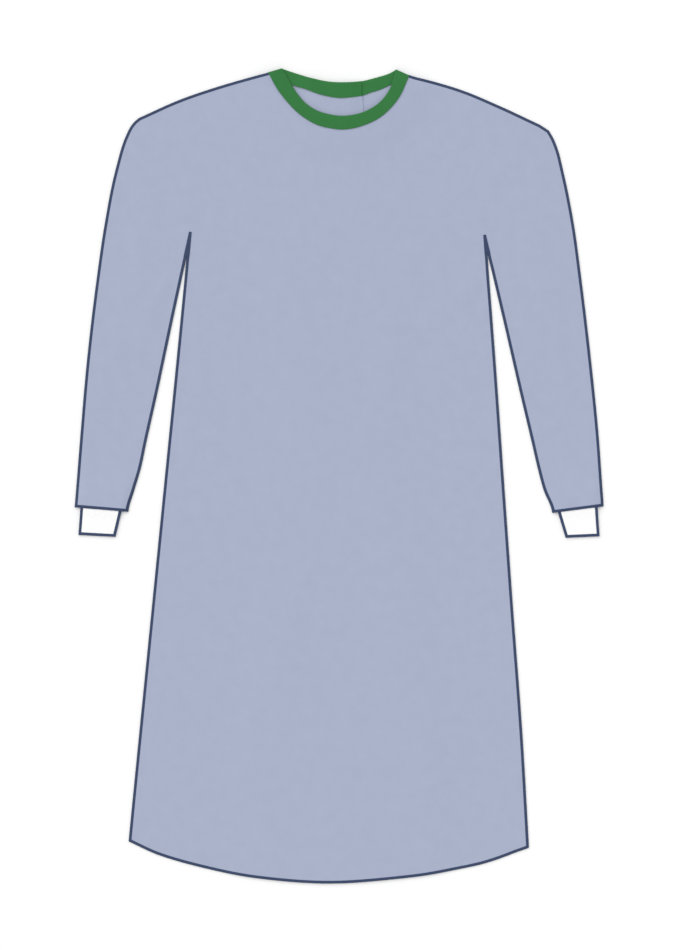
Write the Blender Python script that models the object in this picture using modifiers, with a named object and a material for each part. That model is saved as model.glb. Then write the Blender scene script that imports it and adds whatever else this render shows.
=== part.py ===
"""Surgical gown laid flat, front up: lapped backs, two-piece sleeves, rib cuffs and a bound neck.

Sides are the wearer's, so the right side lies on negative X. +Y runs towards the neck and +Z is up.
Every piece is a cloth wall. Pieces that are sewn together lie GAP apart.
"""

import bmesh
import bpy
import numpy as np

MM = 0.001

# Cloth, in metres
CLOTH = 1.0 * MM
LEAF = 1.0 * MM
GAP = 0.3 * MM
CUFF_WALL = 1.0 * MM
RIB_HEIGHT = 0.4 * MM
SEAM_ALLOWANCE = 2.2 * MM

# Layers: how far one piece lies above the next
LAYER = CLOTH + GAP
BOUND_LAYER = CLOTH + 2 * LEAF + 3 * GAP
NECK_EDGE_SHARE = 0.1

# Lap of the two backs, each side of the centre back
LAP_AT_NECK = 35.0 * MM
LAP_AT_HEM = 130.0 * MM
LAP_REACH = 3.0 * MM
LAP_FALL = 52.0 * MM
FRONT_REACH = 8.0 * MM
FRONT_FALL = 60.0 * MM

# How far from the neck's edge the cloth stays raised, and where it is down again
UNDER_RAISED = 32.0 * MM
UNDER_DOWN = 74.0 * MM
TAB_RAISED = 60.0 * MM
TAB_DOWN = 115.0 * MM
TAB_REACH = 85.0 * MM
TAB_REACH_DOWN = 120.0 * MM
LAP_RAISED = 26.0 * MM
LAP_DOWN = 70.0 * MM
FRONT_RAISED = 32.0 * MM
FRONT_DOWN = 76.0 * MM

# Sleeves and cuffs
ARMHOLE_HOLLOW = 16.0 * MM
CUFF_TUCK = 12.0 * MM
CUFF_DROP = 12.0 * MM
WRIST_RAISED = 16.0 * MM
WRIST_DOWN = 75.0 * MM
RIBS_PER_FACE = 16
RIB_TOP = (0.3, 0.7)
WRIST_LIFT = 2 * (CUFF_WALL + RIB_HEIGHT + GAP)

# Neck tab
TAB_LENGTH = 60.0 * MM
TAB_WIDTH = 20.0 * MM
TAB_CORNER = 5.0 * MM
TAB_CENTRE = (-42.0 * MM, 590.0 * MM)

HEM_STEP = 3.0 * MM

# Grid counts
ARMHOLE_CELLS = 14
SIDE_CELLS = 7
SHOULDER_SHARES = (0.0, 0.12, 0.19, 0.28, 0.45, 0.7, 1.0)
FRONT_NECK_CELLS = 28
BACK_NECK_CELLS = 20
HEM_MIDDLE_SHARE = 0.56
SLEEVE_SHARES = (0.0, 0.18, 0.36, 0.54, 0.7, 0.82, 0.88, 0.91, 0.94, 0.965, 0.985, 1.0)
LIFT_START = 1.6 * MM
LIFT_END = 7.4 * MM
WRIST_SHARES = (0.0, 0.02, 0.055, 0.09, 0.18, 0.29, 0.4, 0.5, 0.6, 0.71, 0.82, 0.91, 0.945, 0.98, 1.0)
BACK_SLEEVE_ROWS = 8
SMOOTH_STEPS = 8

# Outlines in millimetres, right side then left side.
# Shoulder: from the binding out to the top of the armhole. Columns: across, up.
SHOULDER_RIGHT = ((-111.2, 643.6), (-172.0, 627.6), (-227.2, 610.0), (-266.4, 595.6), (-297.6, 582.8), (-320.0, 571.0))
SHOULDER_LEFT = ((109.0, 639.0), (167.2, 624.4), (209.6, 610.0), (243.2, 595.6), (271.2, 582.8), (320.0, 560.0))

# Outside of the arm, from the armhole down to the sleeve's end. Columns: across, up.
OVERARM_RIGHT = (
    (-320.0, 571.0), (-332.8, 557.2), (-339.2, 544.4), (-356.0, 490.0), (-373.6, 402.0), (-386.4, 314.0),
    (-401.6, 186.0), (-412.8, 58.0), (-419.2, -22.0), (-421.6, -47.6),
)
OVERARM_LEFT = (
    (320.0, 560.0), (330.4, 554.0), (337.6, 544.4), (355.2, 490.0), (372.8, 402.0), (384.8, 314.0),
    (400.0, 186.0), (412.8, 58.0), (418.4, -22.0), (420.0, -46.0),
)

# Under the arm, from the sleeve's end up to the armhole. Columns: across, up.
UNDERARM_RIGHT = (
    (-340.0, -54.0), (-330.4, -22.0), (-320.8, 10.0), (-310.4, 58.0), (-296.0, 122.0), (-268.8, 250.0),
    (-238.4, 390.8),
)
UNDERARM_LEFT = (
    (342.4, -55.6), (328.8, -22.0), (320.0, 10.0), (308.8, 58.0), (293.6, 122.0), (264.0, 250.0),
    (232.0, 386.0),
)

# Side seam, from the hem up to the armhole. Columns: across, up.
SIDE_RIGHT = ((-335.2, -584.0), (-320.8, -438.0), (-296.8, -198.0), (-276.0, 10.0), (-258.4, 186.0), (-238.4, 390.8))
SIDE_LEFT = ((300.8, -591.6), (292.0, -438.0), (274.4, -198.0), (259.6, 10.0), (247.2, 186.0), (232.0, 386.0))

# Hem, from the right side to the left. Columns: across, up.
HEM = (
    (-335.2, -584.0), (-295.2, -601.2), (-232.0, -620.4), (-138.4, -639.6), (-16.8, -649.0), (109.6, -639.6),
    (187.2, -626.8), (241.6, -614.0), (300.8, -591.6),
)

# Neck, right shoulder to left. The fold is the free edge of a binding. Columns: across, up.
FRONT_FOLD = (
    (-90.8, 651.8), (-75.2, 624.4), (-65.6, 610.0), (-52.8, 595.6), (-31.2, 582.8), (0.8, 576.4),
    (29.6, 579.6), (52.0, 589.2), (68.0, 602.0), (80.8, 621.2), (89.2, 650.2),
)
FRONT_SEWN_EDGE = (
    (-111.8, 645.8), (-97.6, 621.2), (-86.4, 606.8), (-70.4, 589.2), (-55.2, 576.4), (-32.0, 563.6), (0.8, 555.6),
    (26.4, 560.4), (52.0, 570.0), (71.2, 582.8), (93.6, 608.0), (109.0, 641.2),
)
BACK_FOLD = (
    (-90.8, 651.8), (-66.4, 643.6), (-45.6, 637.2), (-18.4, 631.4), (8.8, 630.3), (34.4, 632.2),
    (55.2, 637.2), (77.6, 643.6), (89.2, 650.2),
)
BACK_SEWN_EDGE = (
    (-111.8, 645.8), (-74.4, 626.8), (-55.2, 621.2), (-39.2, 614.8), (-23.2, 610.0), (2.4, 606.3),
    (34.4, 610.0), (47.2, 614.8), (67.2, 621.2), (109.0, 641.2),
)

# Cuffs, at the sleeve's end and at the cuff's own end, on the right and left arms.
# Columns: across at the outer side, up, across at the inner side, up.
CUFF_RIGHT = ((-412.0, -50.8, -350.4, -54.8), (-415.2, -91.6, -360.0, -94.8))
CUFF_LEFT = ((410.4, -50.0, 350.4, -54.0), (413.6, -93.7, 363.2, -96.4))

# Binding's section over half its height. Columns: share of the width from the fold, share of the half height.
FOLD_OUTSIDE = ((1.0, 1.0), (0.5, 1.0), (0.082, 1.0), (0.023, 0.67), (0.0, 0.0))
FOLD_INSIDE = ((0.045, 0.0), (0.091, 1.0), (0.5, 1.0), (1.0, 1.0))

COLLECTION_NAME = "surgical_gown"


def clear_scene():
    """Remove every object of the scene that the script starts in."""
    for item in list(bpy.data.objects):
        bpy.data.objects.remove(item, do_unlink=True)


def path(rows):
    """Turn a table of millimetres into an array of points in metres."""
    return np.array(rows, dtype=float) * MM


def smooth(points):
    """Return a dense curve that passes through every point."""
    before = np.vstack((2 * points[:1] - points[1:2], points[:-1]))
    after = np.vstack((points[1:], 2 * points[-1:] - points[-2:-1]))
    slopes = (after - before) / 2
    steps = np.linspace(0.0, 1.0, SMOOTH_STEPS, endpoint=False)[None, :, None]
    start = points[:-1, None, :]
    end = points[1:, None, :]
    rise = slopes[:-1, None, :]
    fall = slopes[1:, None, :]
    spans = (
        (2 * steps**3 - 3 * steps**2 + 1) * start
        + (steps**3 - 2 * steps**2 + steps) * rise
        + (3 * steps**2 - 2 * steps**3) * end
        + (steps**3 - steps**2) * fall
    )
    return np.vstack((spans.reshape(-1, 2), points[-1:]))


def lengths(points):
    """Return how far along a path each of its points lies."""
    steps = np.linalg.norm(np.diff(points, axis=0), axis=1)
    return np.concatenate(([0.0], np.cumsum(steps)))


def at_shares(points, shares):
    """Return the points at these shares of a path's length."""
    along = lengths(points)
    places = np.asarray(shares) * along[-1]
    return np.column_stack((np.interp(places, along, points[:, 0]), np.interp(places, along, points[:, 1])))


def in_cells(points, count):
    """Return a path's points at equal steps."""
    return at_shares(points, np.linspace(0.0, 1.0, count + 1))


def moved_left(points, amount):
    """Move a path sideways to its left, or to its right by a negative amount."""
    along = np.gradient(points, axis=0)
    normals = np.column_stack((-along[:, 1], along[:, 0]))
    normals /= np.linalg.norm(normals, axis=1)[:, None]
    return points + normals * amount


def fall(distance, raised, down):
    """Return 1 up to the raised distance, 0 beyond the down distance and a soft slope between them."""
    share = np.clip((down - distance) / (down - raised), 0.0, 1.0)
    return share * share * (3 - 2 * share)


def distance_to(points, line):
    """Return each point's distance in plan from a path."""
    start = line[:-1]
    step = line[1:] - start
    offset = points[..., None, :] - start
    share = np.clip((offset * step).sum(axis=-1) / (step * step).sum(axis=-1), 0.0, 1.0)
    nearest = offset - share[..., None] * step
    return np.sqrt((nearest**2).sum(axis=-1)).min(axis=-1)


def lap_width(points):
    """Return how far the backs reach past the centre back, wider towards the hem."""
    top = BACK_FOLD[4][1] * MM
    bottom = HEM[4][1] * MM
    share = np.clip((top - points[..., 1]) / (top - bottom), 0.0, 1.0)
    return LAP_AT_NECK + (LAP_AT_HEM - LAP_AT_NECK) * share


def outer_back_height(points):
    """Height of the underside of the left back, which lies on the surface."""
    from_neck = distance_to(points, smooth(path(BACK_FOLD)))
    over_binding = fall(from_neck, UNDER_RAISED, UNDER_DOWN)
    over_tab = fall(from_neck, TAB_RAISED, TAB_DOWN) * fall(np.abs(points[..., 0]), TAB_REACH, TAB_REACH_DOWN)
    return (LEAF + GAP) * np.maximum(over_binding, over_tab)


def inner_back_height(points):
    """Height of the underside of the right back, which climbs over the left one at the lap."""
    from_neck = distance_to(points, smooth(path(BACK_FOLD)))
    edge = lap_width(points)
    on_lap = fall(-points[..., 0], edge + LAP_REACH, edge + LAP_REACH + LAP_FALL)
    climb = LAYER + (BOUND_LAYER - LAYER) * fall(from_neck, LAP_RAISED, LAP_DOWN)
    return outer_back_height(points) + on_lap * climb


def front_height(points):
    """Height of the underside of the front, over the lap and up to the bound neck."""
    from_neck = distance_to(points, smooth(path(FRONT_FOLD)))
    edge = lap_width(points)
    over_lap = fall(np.abs(points[..., 0]), edge + FRONT_REACH, edge + FRONT_REACH + FRONT_FALL)
    return LAYER + LAYER * over_lap + BOUND_LAYER * fall(from_neck, FRONT_RAISED, FRONT_DOWN)


def flat_height(points):
    """Height of the underside of a piece that lies on the surface."""
    return np.zeros(points.shape[:-1])


def patch(bottom, top, start, end, level_middle=0.0):
    """Fill the space between four paths with a grid of points, rows running from bottom to top.

    A level middle of 1 keeps the sides' bends out of the middle columns, and 0 spreads them evenly.
    """
    share = (lengths(bottom) / lengths(bottom)[-1])[None, :, None]
    level = 0.5 + 4 * (share - 0.5) ** 3
    across = (1 - level_middle) * share + level_middle * level
    up = (lengths(start) / lengths(start)[-1])[:, None, None]
    rows = (1 - up) * bottom[None] + up * top[None]
    columns = (1 - across) * start[:, None] + across * end[:, None]
    corners = (
        (1 - up) * ((1 - across) * bottom[0] + across * bottom[-1])
        + up * ((1 - across) * top[0] + across * top[-1])
    )
    return rows + columns - corners


def grid_faces(rows, columns):
    """Return the four-sided faces of a grid that faces up."""
    index = np.arange(rows * columns).reshape(rows, columns)
    corners = (index[:-1, :-1], index[:-1, 1:], index[1:, 1:], index[1:, :-1])
    return np.stack(corners, axis=-1).reshape(-1, 4)


def add_object(name, points, faces, material, collection):
    """Make one named object from points and faces."""
    mesh = bpy.data.meshes.new(name)
    mesh.from_pydata(points.tolist(), [], faces.tolist())
    mesh.materials.append(material)
    item = bpy.data.objects.new(name, mesh)
    collection.objects.link(item)
    return item


def face_up_and_out(item, closed):
    """Turn an object's faces the way they should look: up for an open sheet, out for a closed one."""
    work = bmesh.new()
    work.from_mesh(item.data)
    if closed:
        bmesh.ops.recalc_face_normals(work, faces=work.faces)
    else:
        down = [face for face in work.faces if face.normal.z < 0]
        bmesh.ops.reverse_faces(work, faces=down)
    work.to_mesh(item.data)
    work.free()


def cloth_piece(name, grid, height, material, collection):
    """Make a cloth wall from a grid in plan and the height of its underside."""
    points = np.dstack((grid, height(grid)))
    rows, columns = grid.shape[:2]
    item = add_object(name, points.reshape(-1, 3), grid_faces(rows, columns), material, collection)
    face_up_and_out(item, closed=False)
    wall = item.modifiers.new("wall", "SOLIDIFY")
    wall.thickness = CLOTH
    wall.offset = 1.0
    wall.use_even_offset = True
    return item


def neck_edge(fold, sewn_edge, count):
    """Return the cloth's own edge inside a binding."""
    return (1 - NECK_EDGE_SHARE) * in_cells(fold, count) + NECK_EDGE_SHARE * in_cells(sewn_edge, count)


def shoulder(rows, neck_end, toward_left):
    """Return a shoulder's edge from the neck out to the armhole."""
    line = smooth(path(rows))
    amount = SEAM_ALLOWANCE if toward_left else -SEAM_ALLOWANCE
    return at_shares(np.vstack((neck_end, moved_left(line, amount))), SHOULDER_SHARES)


def cut_at(points, across, keep_right):
    """Cut a path where it crosses a distance from the centre, and keep the wearer's right or left part."""
    height = np.interp(across, points[:, 0], points[:, 1])
    end = np.array([[across, height]])
    if keep_right:
        return np.vstack((points[points[:, 0] < across], end))
    return np.vstack((end, points[points[:, 0] > across]))


def armhole(side_top, shoulder_end, gap):
    """Return the armhole from under the arm up to the shoulder, hollowed towards the body and a gap off it."""
    share = np.linspace(0.0, 1.0, ARMHOLE_CELLS + 1)[:, None]
    line = (1 - share) * side_top + share * shoulder_end
    along = shoulder_end - side_top
    toward_body = np.array((-along[1], along[0])) / np.linalg.norm(along)
    toward_body *= -np.sign(toward_body[0] * side_top[0])
    return line + toward_body * (ARMHOLE_HOLLOW * 4 * share * (1 - share) - gap)


def side_edge(rows, sign):
    """Return a side seam's edge from the hem up to the armhole."""
    line = smooth(path(rows))
    return in_cells(moved_left(line, sign * SEAM_ALLOWANCE), SIDE_CELLS)


def body_side(side, shoulder_end):
    """Join a side seam and an armhole into one edge."""
    return np.vstack((side[:-1], armhole(side[-1], shoulder_end, 0.0)))


def hem_edge(raise_by):
    """Return the hem's dense edge, raised by an amount."""
    line = moved_left(smooth(path(HEM)), -SEAM_ALLOWANCE)
    line[:, 1] += raise_by
    return line


def hem_points(line, columns):
    """Return the hem's points at these distances from the centre."""
    return np.column_stack((columns, np.interp(columns, line[:, 0], line[:, 1])))


def shoulder_steps(start, end):
    """Return distances from a side edge to the neck's stretch, stepping as a shoulder does."""
    return end + (start - end) * np.array(SHOULDER_SHARES[::-1])


def make_front(material, collection):
    """Make the front, from shoulder to hem in one piece."""
    neck = neck_edge(smooth(path(FRONT_FOLD)), smooth(path(FRONT_SEWN_EDGE)), FRONT_NECK_CELLS)
    right_shoulder = shoulder(SHOULDER_RIGHT, neck[0], False)
    left_shoulder = shoulder(SHOULDER_LEFT, neck[-1], True)
    right = side_edge(SIDE_RIGHT, 1.0)
    left = side_edge(SIDE_LEFT, -1.0)
    start = body_side(right, right_shoulder[-1])
    end = body_side(left, left_shoulder[-1])
    top = np.vstack((right_shoulder[::-1], neck[1:-1], left_shoulder))
    right_middle = HEM_MIDDLE_SHARE * start[0, 0]
    left_middle = HEM_MIDDLE_SHARE * end[0, 0]
    below_neck = np.linspace(right_middle, left_middle, FRONT_NECK_CELLS + 1)
    right_part = shoulder_steps(start[0, 0], right_middle)
    left_part = shoulder_steps(end[0, 0], left_middle)[::-1]
    columns = np.concatenate((right_part, below_neck[1:-1], left_part))
    bottom = hem_points(hem_edge(0.0), columns)
    bottom[0] = start[0]
    bottom[-1] = end[0]
    grid = patch(bottom, top, start, end, level_middle=1.0)
    cloth_piece("front_panel", grid, front_height, material, collection)


def make_back(name, is_right, material, collection):
    """Make one back, from its side seam to its edge past the centre back."""
    edge_top = LAP_AT_NECK if is_right else -LAP_AT_NECK
    edge_hem = LAP_AT_HEM if is_right else -LAP_AT_HEM
    fold = cut_at(smooth(path(BACK_FOLD)), edge_top, is_right)
    sewn_edge = cut_at(smooth(path(BACK_SEWN_EDGE)), edge_top, is_right)
    neck = neck_edge(fold, sewn_edge, BACK_NECK_CELLS)
    if not is_right:
        neck = neck[::-1]
    outside = shoulder(SHOULDER_RIGHT if is_right else SHOULDER_LEFT, neck[0], not is_right)
    side = side_edge(SIDE_RIGHT if is_right else SIDE_LEFT, 1.0 if is_right else -1.0)
    start = body_side(side, outside[-1])
    start[0, 1] += HEM_STEP
    top = np.vstack((outside[::-1], neck[1:]))
    middle = HEM_MIDDLE_SHARE * start[0, 0]
    below_neck = np.linspace(middle, edge_hem, BACK_NECK_CELLS + 1)
    columns = np.concatenate((shoulder_steps(start[0, 0], middle), below_neck[1:]))
    bottom = hem_points(hem_edge(HEM_STEP), columns)
    bottom[0] = start[0]
    shares = lengths(start) / lengths(start)[-1]
    end = at_shares(np.vstack((bottom[-1:], top[-1:])), shares)
    height = inner_back_height if is_right else outer_back_height
    cloth_piece(name, patch(bottom, top, start, end), height, material, collection)


def wrist_height(sleeve_end, over, under):
    """Return a height for a sleeve's front that rises over the cuff at the sleeve's end."""

    def height(points):
        """Height of the underside of a sleeve's front."""
        from_end = distance_to(points, sleeve_end)
        from_side = np.minimum(distance_to(points, over), distance_to(points, under))
        lift = np.clip((from_side - LIFT_START) / (LIFT_END - LIFT_START), 0.0, 1.0)
        return LAYER + WRIST_LIFT * lift * fall(from_end, WRIST_RAISED, WRIST_DOWN)

    return height


def make_sleeve(side, is_right, material, collection):
    """Make the front and the back of one sleeve."""
    sign = 1.0 if is_right else -1.0
    body = side_edge(SIDE_RIGHT if is_right else SIDE_LEFT, sign)
    shoulder_line = SHOULDER_RIGHT if is_right else SHOULDER_LEFT
    outside = shoulder(shoulder_line, path(shoulder_line[:1]), not is_right)
    top = armhole(body[-1], outside[-1], GAP)
    over = moved_left(smooth(path(OVERARM_RIGHT if is_right else OVERARM_LEFT)), -sign * SEAM_ALLOWANCE)[::-1]
    under = moved_left(smooth(path(UNDERARM_RIGHT if is_right else UNDERARM_LEFT)), -sign * SEAM_ALLOWANCE)
    down = np.array((0.0, -SEAM_ALLOWANCE))
    over[0] += down
    under[0] += down
    over = np.vstack((over[:-1], top[-1:]))
    under = np.vstack((under[:-1], top[:1]))
    wrist = np.vstack((under[:1], over[:1]))
    bottom = at_shares(wrist, WRIST_SHARES)
    shares = 1.0 - np.array(SLEEVE_SHARES)[::-1]
    front = patch(bottom, top, at_shares(under, shares), at_shares(over, shares))
    back = patch(bottom, top, in_cells(under, BACK_SLEEVE_ROWS), in_cells(over, BACK_SLEEVE_ROWS))
    cloth_piece("sleeve_front_" + side, front, wrist_height(wrist, over, under), material, collection)
    cloth_piece("sleeve_back_" + side, back, flat_height, material, collection)


def closed_wall(name, under, over, material, collection):
    """Join two grids of the same size into one closed wall."""
    rows, columns = under.shape[:2]
    size = rows * columns
    index = np.arange(size).reshape(rows, columns)
    loop = np.concatenate((index[0, :-1], index[:-1, -1], index[-1, :0:-1], index[:0:-1, 0]))
    rim = np.column_stack((loop, np.roll(loop, -1), np.roll(loop, -1) + size, loop + size))
    faces = np.vstack((grid_faces(rows, columns)[:, ::-1], grid_faces(rows, columns) + size, rim))
    points = np.vstack((under.reshape(-1, 3), over.reshape(-1, 3)))
    item = add_object(name, points, faces, material, collection)
    face_up_and_out(item, closed=True)


def rib_shares():
    """Return the places of a cuff's rib edges across its width, and whether each is raised."""
    start = np.arange(RIBS_PER_FACE)[:, None]
    places = (start + np.array((0.0,) + RIB_TOP)) / RIBS_PER_FACE
    raised = np.tile((0.0, 1.0, 1.0), RIBS_PER_FACE)
    return np.append(places.ravel(), 1.0), np.append(raised, 0.0)


def make_cuff(side, rows, material, collection):
    """Make the front and back halves of one rib cuff, tucked into its sleeve."""
    table = np.array(rows) * MM
    top = table[0].reshape(2, 2)
    end = table[1].reshape(2, 2)
    centre = (end[0] + end[1]) / 2
    end = end + SEAM_ALLOWANCE * (end - centre) / np.linalg.norm(end - centre, axis=1)[:, None]
    top = top + SEAM_ALLOWANCE * (top - top[::-1]) / np.linalg.norm(top[0] - top[1])
    along = (end - top) / np.linalg.norm(end - top, axis=1)[:, None]
    end = end + SEAM_ALLOWANCE * along
    length = np.linalg.norm(end - top, axis=1).mean()
    sleeve_end = 2 * SEAM_ALLOWANCE
    places = np.array((-CUFF_TUCK, sleeve_end, sleeve_end + CUFF_DROP, length))
    drop = LAYER * fall(places, places[1], places[2])
    outer = top[0] + along[0] * places[:, None]
    inner = top[1] + along[1] * places[:, None]
    shares, raised = rib_shares()
    plan = (1 - shares[None, :, None]) * outer[:, None] + shares[None, :, None] * inner[:, None]
    ribs = RIB_HEIGHT * np.tile(raised, (len(places), 1))
    level = np.tile(drop[:, None], (1, len(shares)))
    wall = CUFF_WALL + RIB_HEIGHT
    back_under = np.dstack((plan, level + RIB_HEIGHT - ribs))
    back_over = np.dstack((plan, level + wall))
    front_under = np.dstack((plan, level + wall + GAP))
    front_over = np.dstack((plan, level + wall + GAP + CUFF_WALL + ribs))
    closed_wall("cuff_back_" + side, back_under, back_over, material, collection)
    closed_wall("cuff_front_" + side, front_under, front_over, material, collection)


def binding_section():
    """Return the binding's closed section as shares of its width and signed half heights."""
    outer_half = CLOTH / 2 + GAP + LEAF
    inner_half = CLOTH / 2 + GAP
    upper = [(share, half * outer_half) for share, half in FOLD_OUTSIDE]
    lower = [(share, -half * outer_half) for share, half in FOLD_OUTSIDE[-2::-1]]
    inside_lower = [(share, -half * inner_half) for share, half in FOLD_INSIDE[::-1]]
    inside_upper = [(share, half * inner_half) for share, half in FOLD_INSIDE[1:]]
    return np.array(upper + lower + inside_lower + inside_upper)


def make_binding(name, fold, sewn_edge, height, cells, material, collection):
    """Fold a binding over a neck's edge, its two leaves a gap from the cloth."""
    section = binding_section()
    free = in_cells(fold, cells)[:, None]
    sewn = in_cells(sewn_edge, cells)[:, None]
    share = section[None, :, :1]
    plan = (1 - share) * free + share * sewn
    level = height(plan) + CLOTH / 2 + section[None, :, 1]
    points = np.dstack((plan, level))
    stations, corners = plan.shape[:2]
    index = np.arange(stations * corners).reshape(stations, corners)
    after = np.roll(index, -1, axis=1)
    sides = np.stack((index[:-1], after[:-1], after[1:], index[1:]), axis=-1).reshape(-1, 4).tolist()
    half = corners // 2
    pairs = [(ring, ring + 1, corners - 2 - ring, corners - 1 - ring) for ring in range(half - 1)]
    ends = [[int(index[station, corner]) for corner in pair] for station in (0, -1) for pair in pairs]
    mesh = bpy.data.meshes.new(name)
    mesh.from_pydata(points.reshape(-1, 3).tolist(), [], sides + ends)
    mesh.materials.append(material)
    item = bpy.data.objects.new(name, mesh)
    collection.objects.link(item)
    face_up_and_out(item, closed=True)


def make_bindings(material, collection):
    """Bind the front's neck edge and each back's."""
    front_fold = smooth(path(FRONT_FOLD))
    front_sewn = smooth(path(FRONT_SEWN_EDGE))
    make_binding("neck_binding_front", front_fold, front_sewn, front_height, FRONT_NECK_CELLS, material, collection)
    for name, is_right, height in (
        ("neck_binding_back_right", True, inner_back_height),
        ("neck_binding_back_left", False, outer_back_height),
    ):
        across = LAP_AT_NECK if is_right else -LAP_AT_NECK
        fold = cut_at(smooth(path(BACK_FOLD)), across, is_right)
        sewn_edge = cut_at(smooth(path(BACK_SEWN_EDGE)), across, is_right)
        make_binding(name, fold, sewn_edge, height, BACK_NECK_CELLS, material, collection)


def make_tab(material, collection):
    """Make the flat closing tab, which lies under the lapped backs just below the neck."""
    work = bmesh.new()
    bmesh.ops.create_cube(work, size=1.0)
    for vertex in work.verts:
        vertex.co.x = vertex.co.x * TAB_LENGTH + TAB_CENTRE[0]
        vertex.co.y = vertex.co.y * TAB_WIDTH + TAB_CENTRE[1]
        vertex.co.z = (vertex.co.z + 0.5) * LEAF
    corners = [edge for edge in work.edges if abs(edge.verts[0].co.z - edge.verts[1].co.z) > LEAF / 2]
    bmesh.ops.bevel(work, geom=corners, offset=TAB_CORNER, segments=4, profile=0.5, affect="EDGES")
    mesh = bpy.data.meshes.new("neck_tab")
    work.to_mesh(mesh)
    work.free()
    mesh.materials.append(material)
    item = bpy.data.objects.new("neck_tab", mesh)
    collection.objects.link(item)


def make_material(name, colour, roughness):
    """Make one plain cloth material."""
    material = bpy.data.materials.new(name)
    material.use_nodes = True
    shader = material.node_tree.nodes["Principled BSDF"]
    shader.inputs["Base Color"].default_value = (*colour, 1.0)
    shader.inputs["Roughness"].default_value = roughness
    shader.inputs["Metallic"].default_value = 0.0
    material.diffuse_color = (*colour, 1.0)
    return material


def blue_cloth():
    """Pale ceil blue nonwoven."""
    return make_material("ceil_blue_nonwoven", (0.402, 0.445, 0.591), 0.85)


def green_tape():
    """Green binding tape."""
    return make_material("green_binding_tape", (0.046, 0.193, 0.067), 0.8)


def white_rib():
    """White rib knit."""
    return make_material("white_rib_knit", (0.9, 0.91, 0.9), 0.9)


def white_tab():
    """White tab of a touch fastener."""
    return make_material("white_fastener_tab", (0.8, 0.81, 0.82), 0.7)


def centre_on_origin(collection):
    """Move every piece so that the middle of the whole gown stands over the origin."""
    corners = np.array([tuple(vertex.co) for item in collection.objects for vertex in item.data.vertices])
    middle = (corners.min(axis=0) + corners.max(axis=0)) / 2
    for item in collection.objects:
        for vertex in item.data.vertices:
            vertex.co.x -= middle[0]
            vertex.co.y -= middle[1]


def main():
    """Build the gown piece by piece."""
    clear_scene()
    collection = bpy.data.collections.new(COLLECTION_NAME)
    bpy.context.scene.collection.children.link(collection)
    blue = blue_cloth()
    green = green_tape()
    white = white_rib()
    make_front(blue, collection)
    make_back("back_panel_right", True, blue, collection)
    make_back("back_panel_left", False, blue, collection)
    make_sleeve("right", True, blue, collection)
    make_sleeve("left", False, blue, collection)
    make_cuff("right", CUFF_RIGHT, white, collection)
    make_cuff("left", CUFF_LEFT, white, collection)
    make_bindings(green, collection)
    make_tab(white_tab(), collection)
    centre_on_origin(collection)


main()
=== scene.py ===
"""Surgical gown laid flat: nonwoven panels, taped neck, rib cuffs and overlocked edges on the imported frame.

Sides are the wearer's, so the right side lies on negative X. Lengths are in metres.
"""

import logging
from dataclasses import dataclass, field
from enum import Enum

import bpy
import numpy as np
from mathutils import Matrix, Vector
from mathutils.bvhtree import BVHTree


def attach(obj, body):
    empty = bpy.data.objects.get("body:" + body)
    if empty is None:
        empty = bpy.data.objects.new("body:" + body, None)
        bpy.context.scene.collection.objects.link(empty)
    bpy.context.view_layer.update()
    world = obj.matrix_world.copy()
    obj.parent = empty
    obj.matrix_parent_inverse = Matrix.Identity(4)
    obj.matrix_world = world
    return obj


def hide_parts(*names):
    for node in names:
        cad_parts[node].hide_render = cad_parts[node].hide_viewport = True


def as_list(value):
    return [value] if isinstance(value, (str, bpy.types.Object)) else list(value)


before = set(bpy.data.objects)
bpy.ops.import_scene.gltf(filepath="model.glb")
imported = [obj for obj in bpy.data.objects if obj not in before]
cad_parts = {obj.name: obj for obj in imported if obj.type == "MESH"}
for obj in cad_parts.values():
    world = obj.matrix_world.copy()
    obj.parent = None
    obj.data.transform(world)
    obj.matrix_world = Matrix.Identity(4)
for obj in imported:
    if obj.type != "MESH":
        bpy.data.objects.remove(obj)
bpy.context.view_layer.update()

LOG = logging.getLogger("gown")
MM = 0.001

SOLID_WALL = 1.0 * MM
CLOTH_WALL = 0.5 * MM
CLOTH_INSET = (SOLID_WALL - CLOTH_WALL) / 2
SEAM_BAND = 4.5 * MM
KINK_COSINE = 0.93


class Skin(Enum):
    """Which side of a solid is read: the one seen from above or the one seen from below."""

    TOP = 1.0
    UNDER = -1.0


class Side(Enum):
    """The four sides of a piece between its corners."""

    BOTTOM = 0
    END = 1
    TOP = 2
    START = 3


class Form(Enum):
    """How a crease stands in the cloth."""

    RIDGE = 1.0
    TROUGH = -1.0


def along(points: np.ndarray) -> np.ndarray:
    """Measure how far along a path each point lies: the running sum of its steps.

    Args:
        points: the path, one point a row.

    Returns:
        One length for each point, the first of them 0.
    """
    steps = np.linalg.norm(np.diff(points, axis=0), axis=1)
    return np.concatenate(([0.0], np.cumsum(steps)))


def at_shares(points: np.ndarray, shares: np.ndarray) -> np.ndarray:
    """Read a path at shares of its length, straight between its points.

    Args:
        points: the path, one point a row.
        shares: where to read it, from 0 to 1.

    Returns:
        One point for each share.
    """
    places = along(points)
    wanted = np.asarray(shares) * places[-1]
    return np.column_stack([np.interp(wanted, places, points[:, axis]) for axis in range(points.shape[1])])


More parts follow.
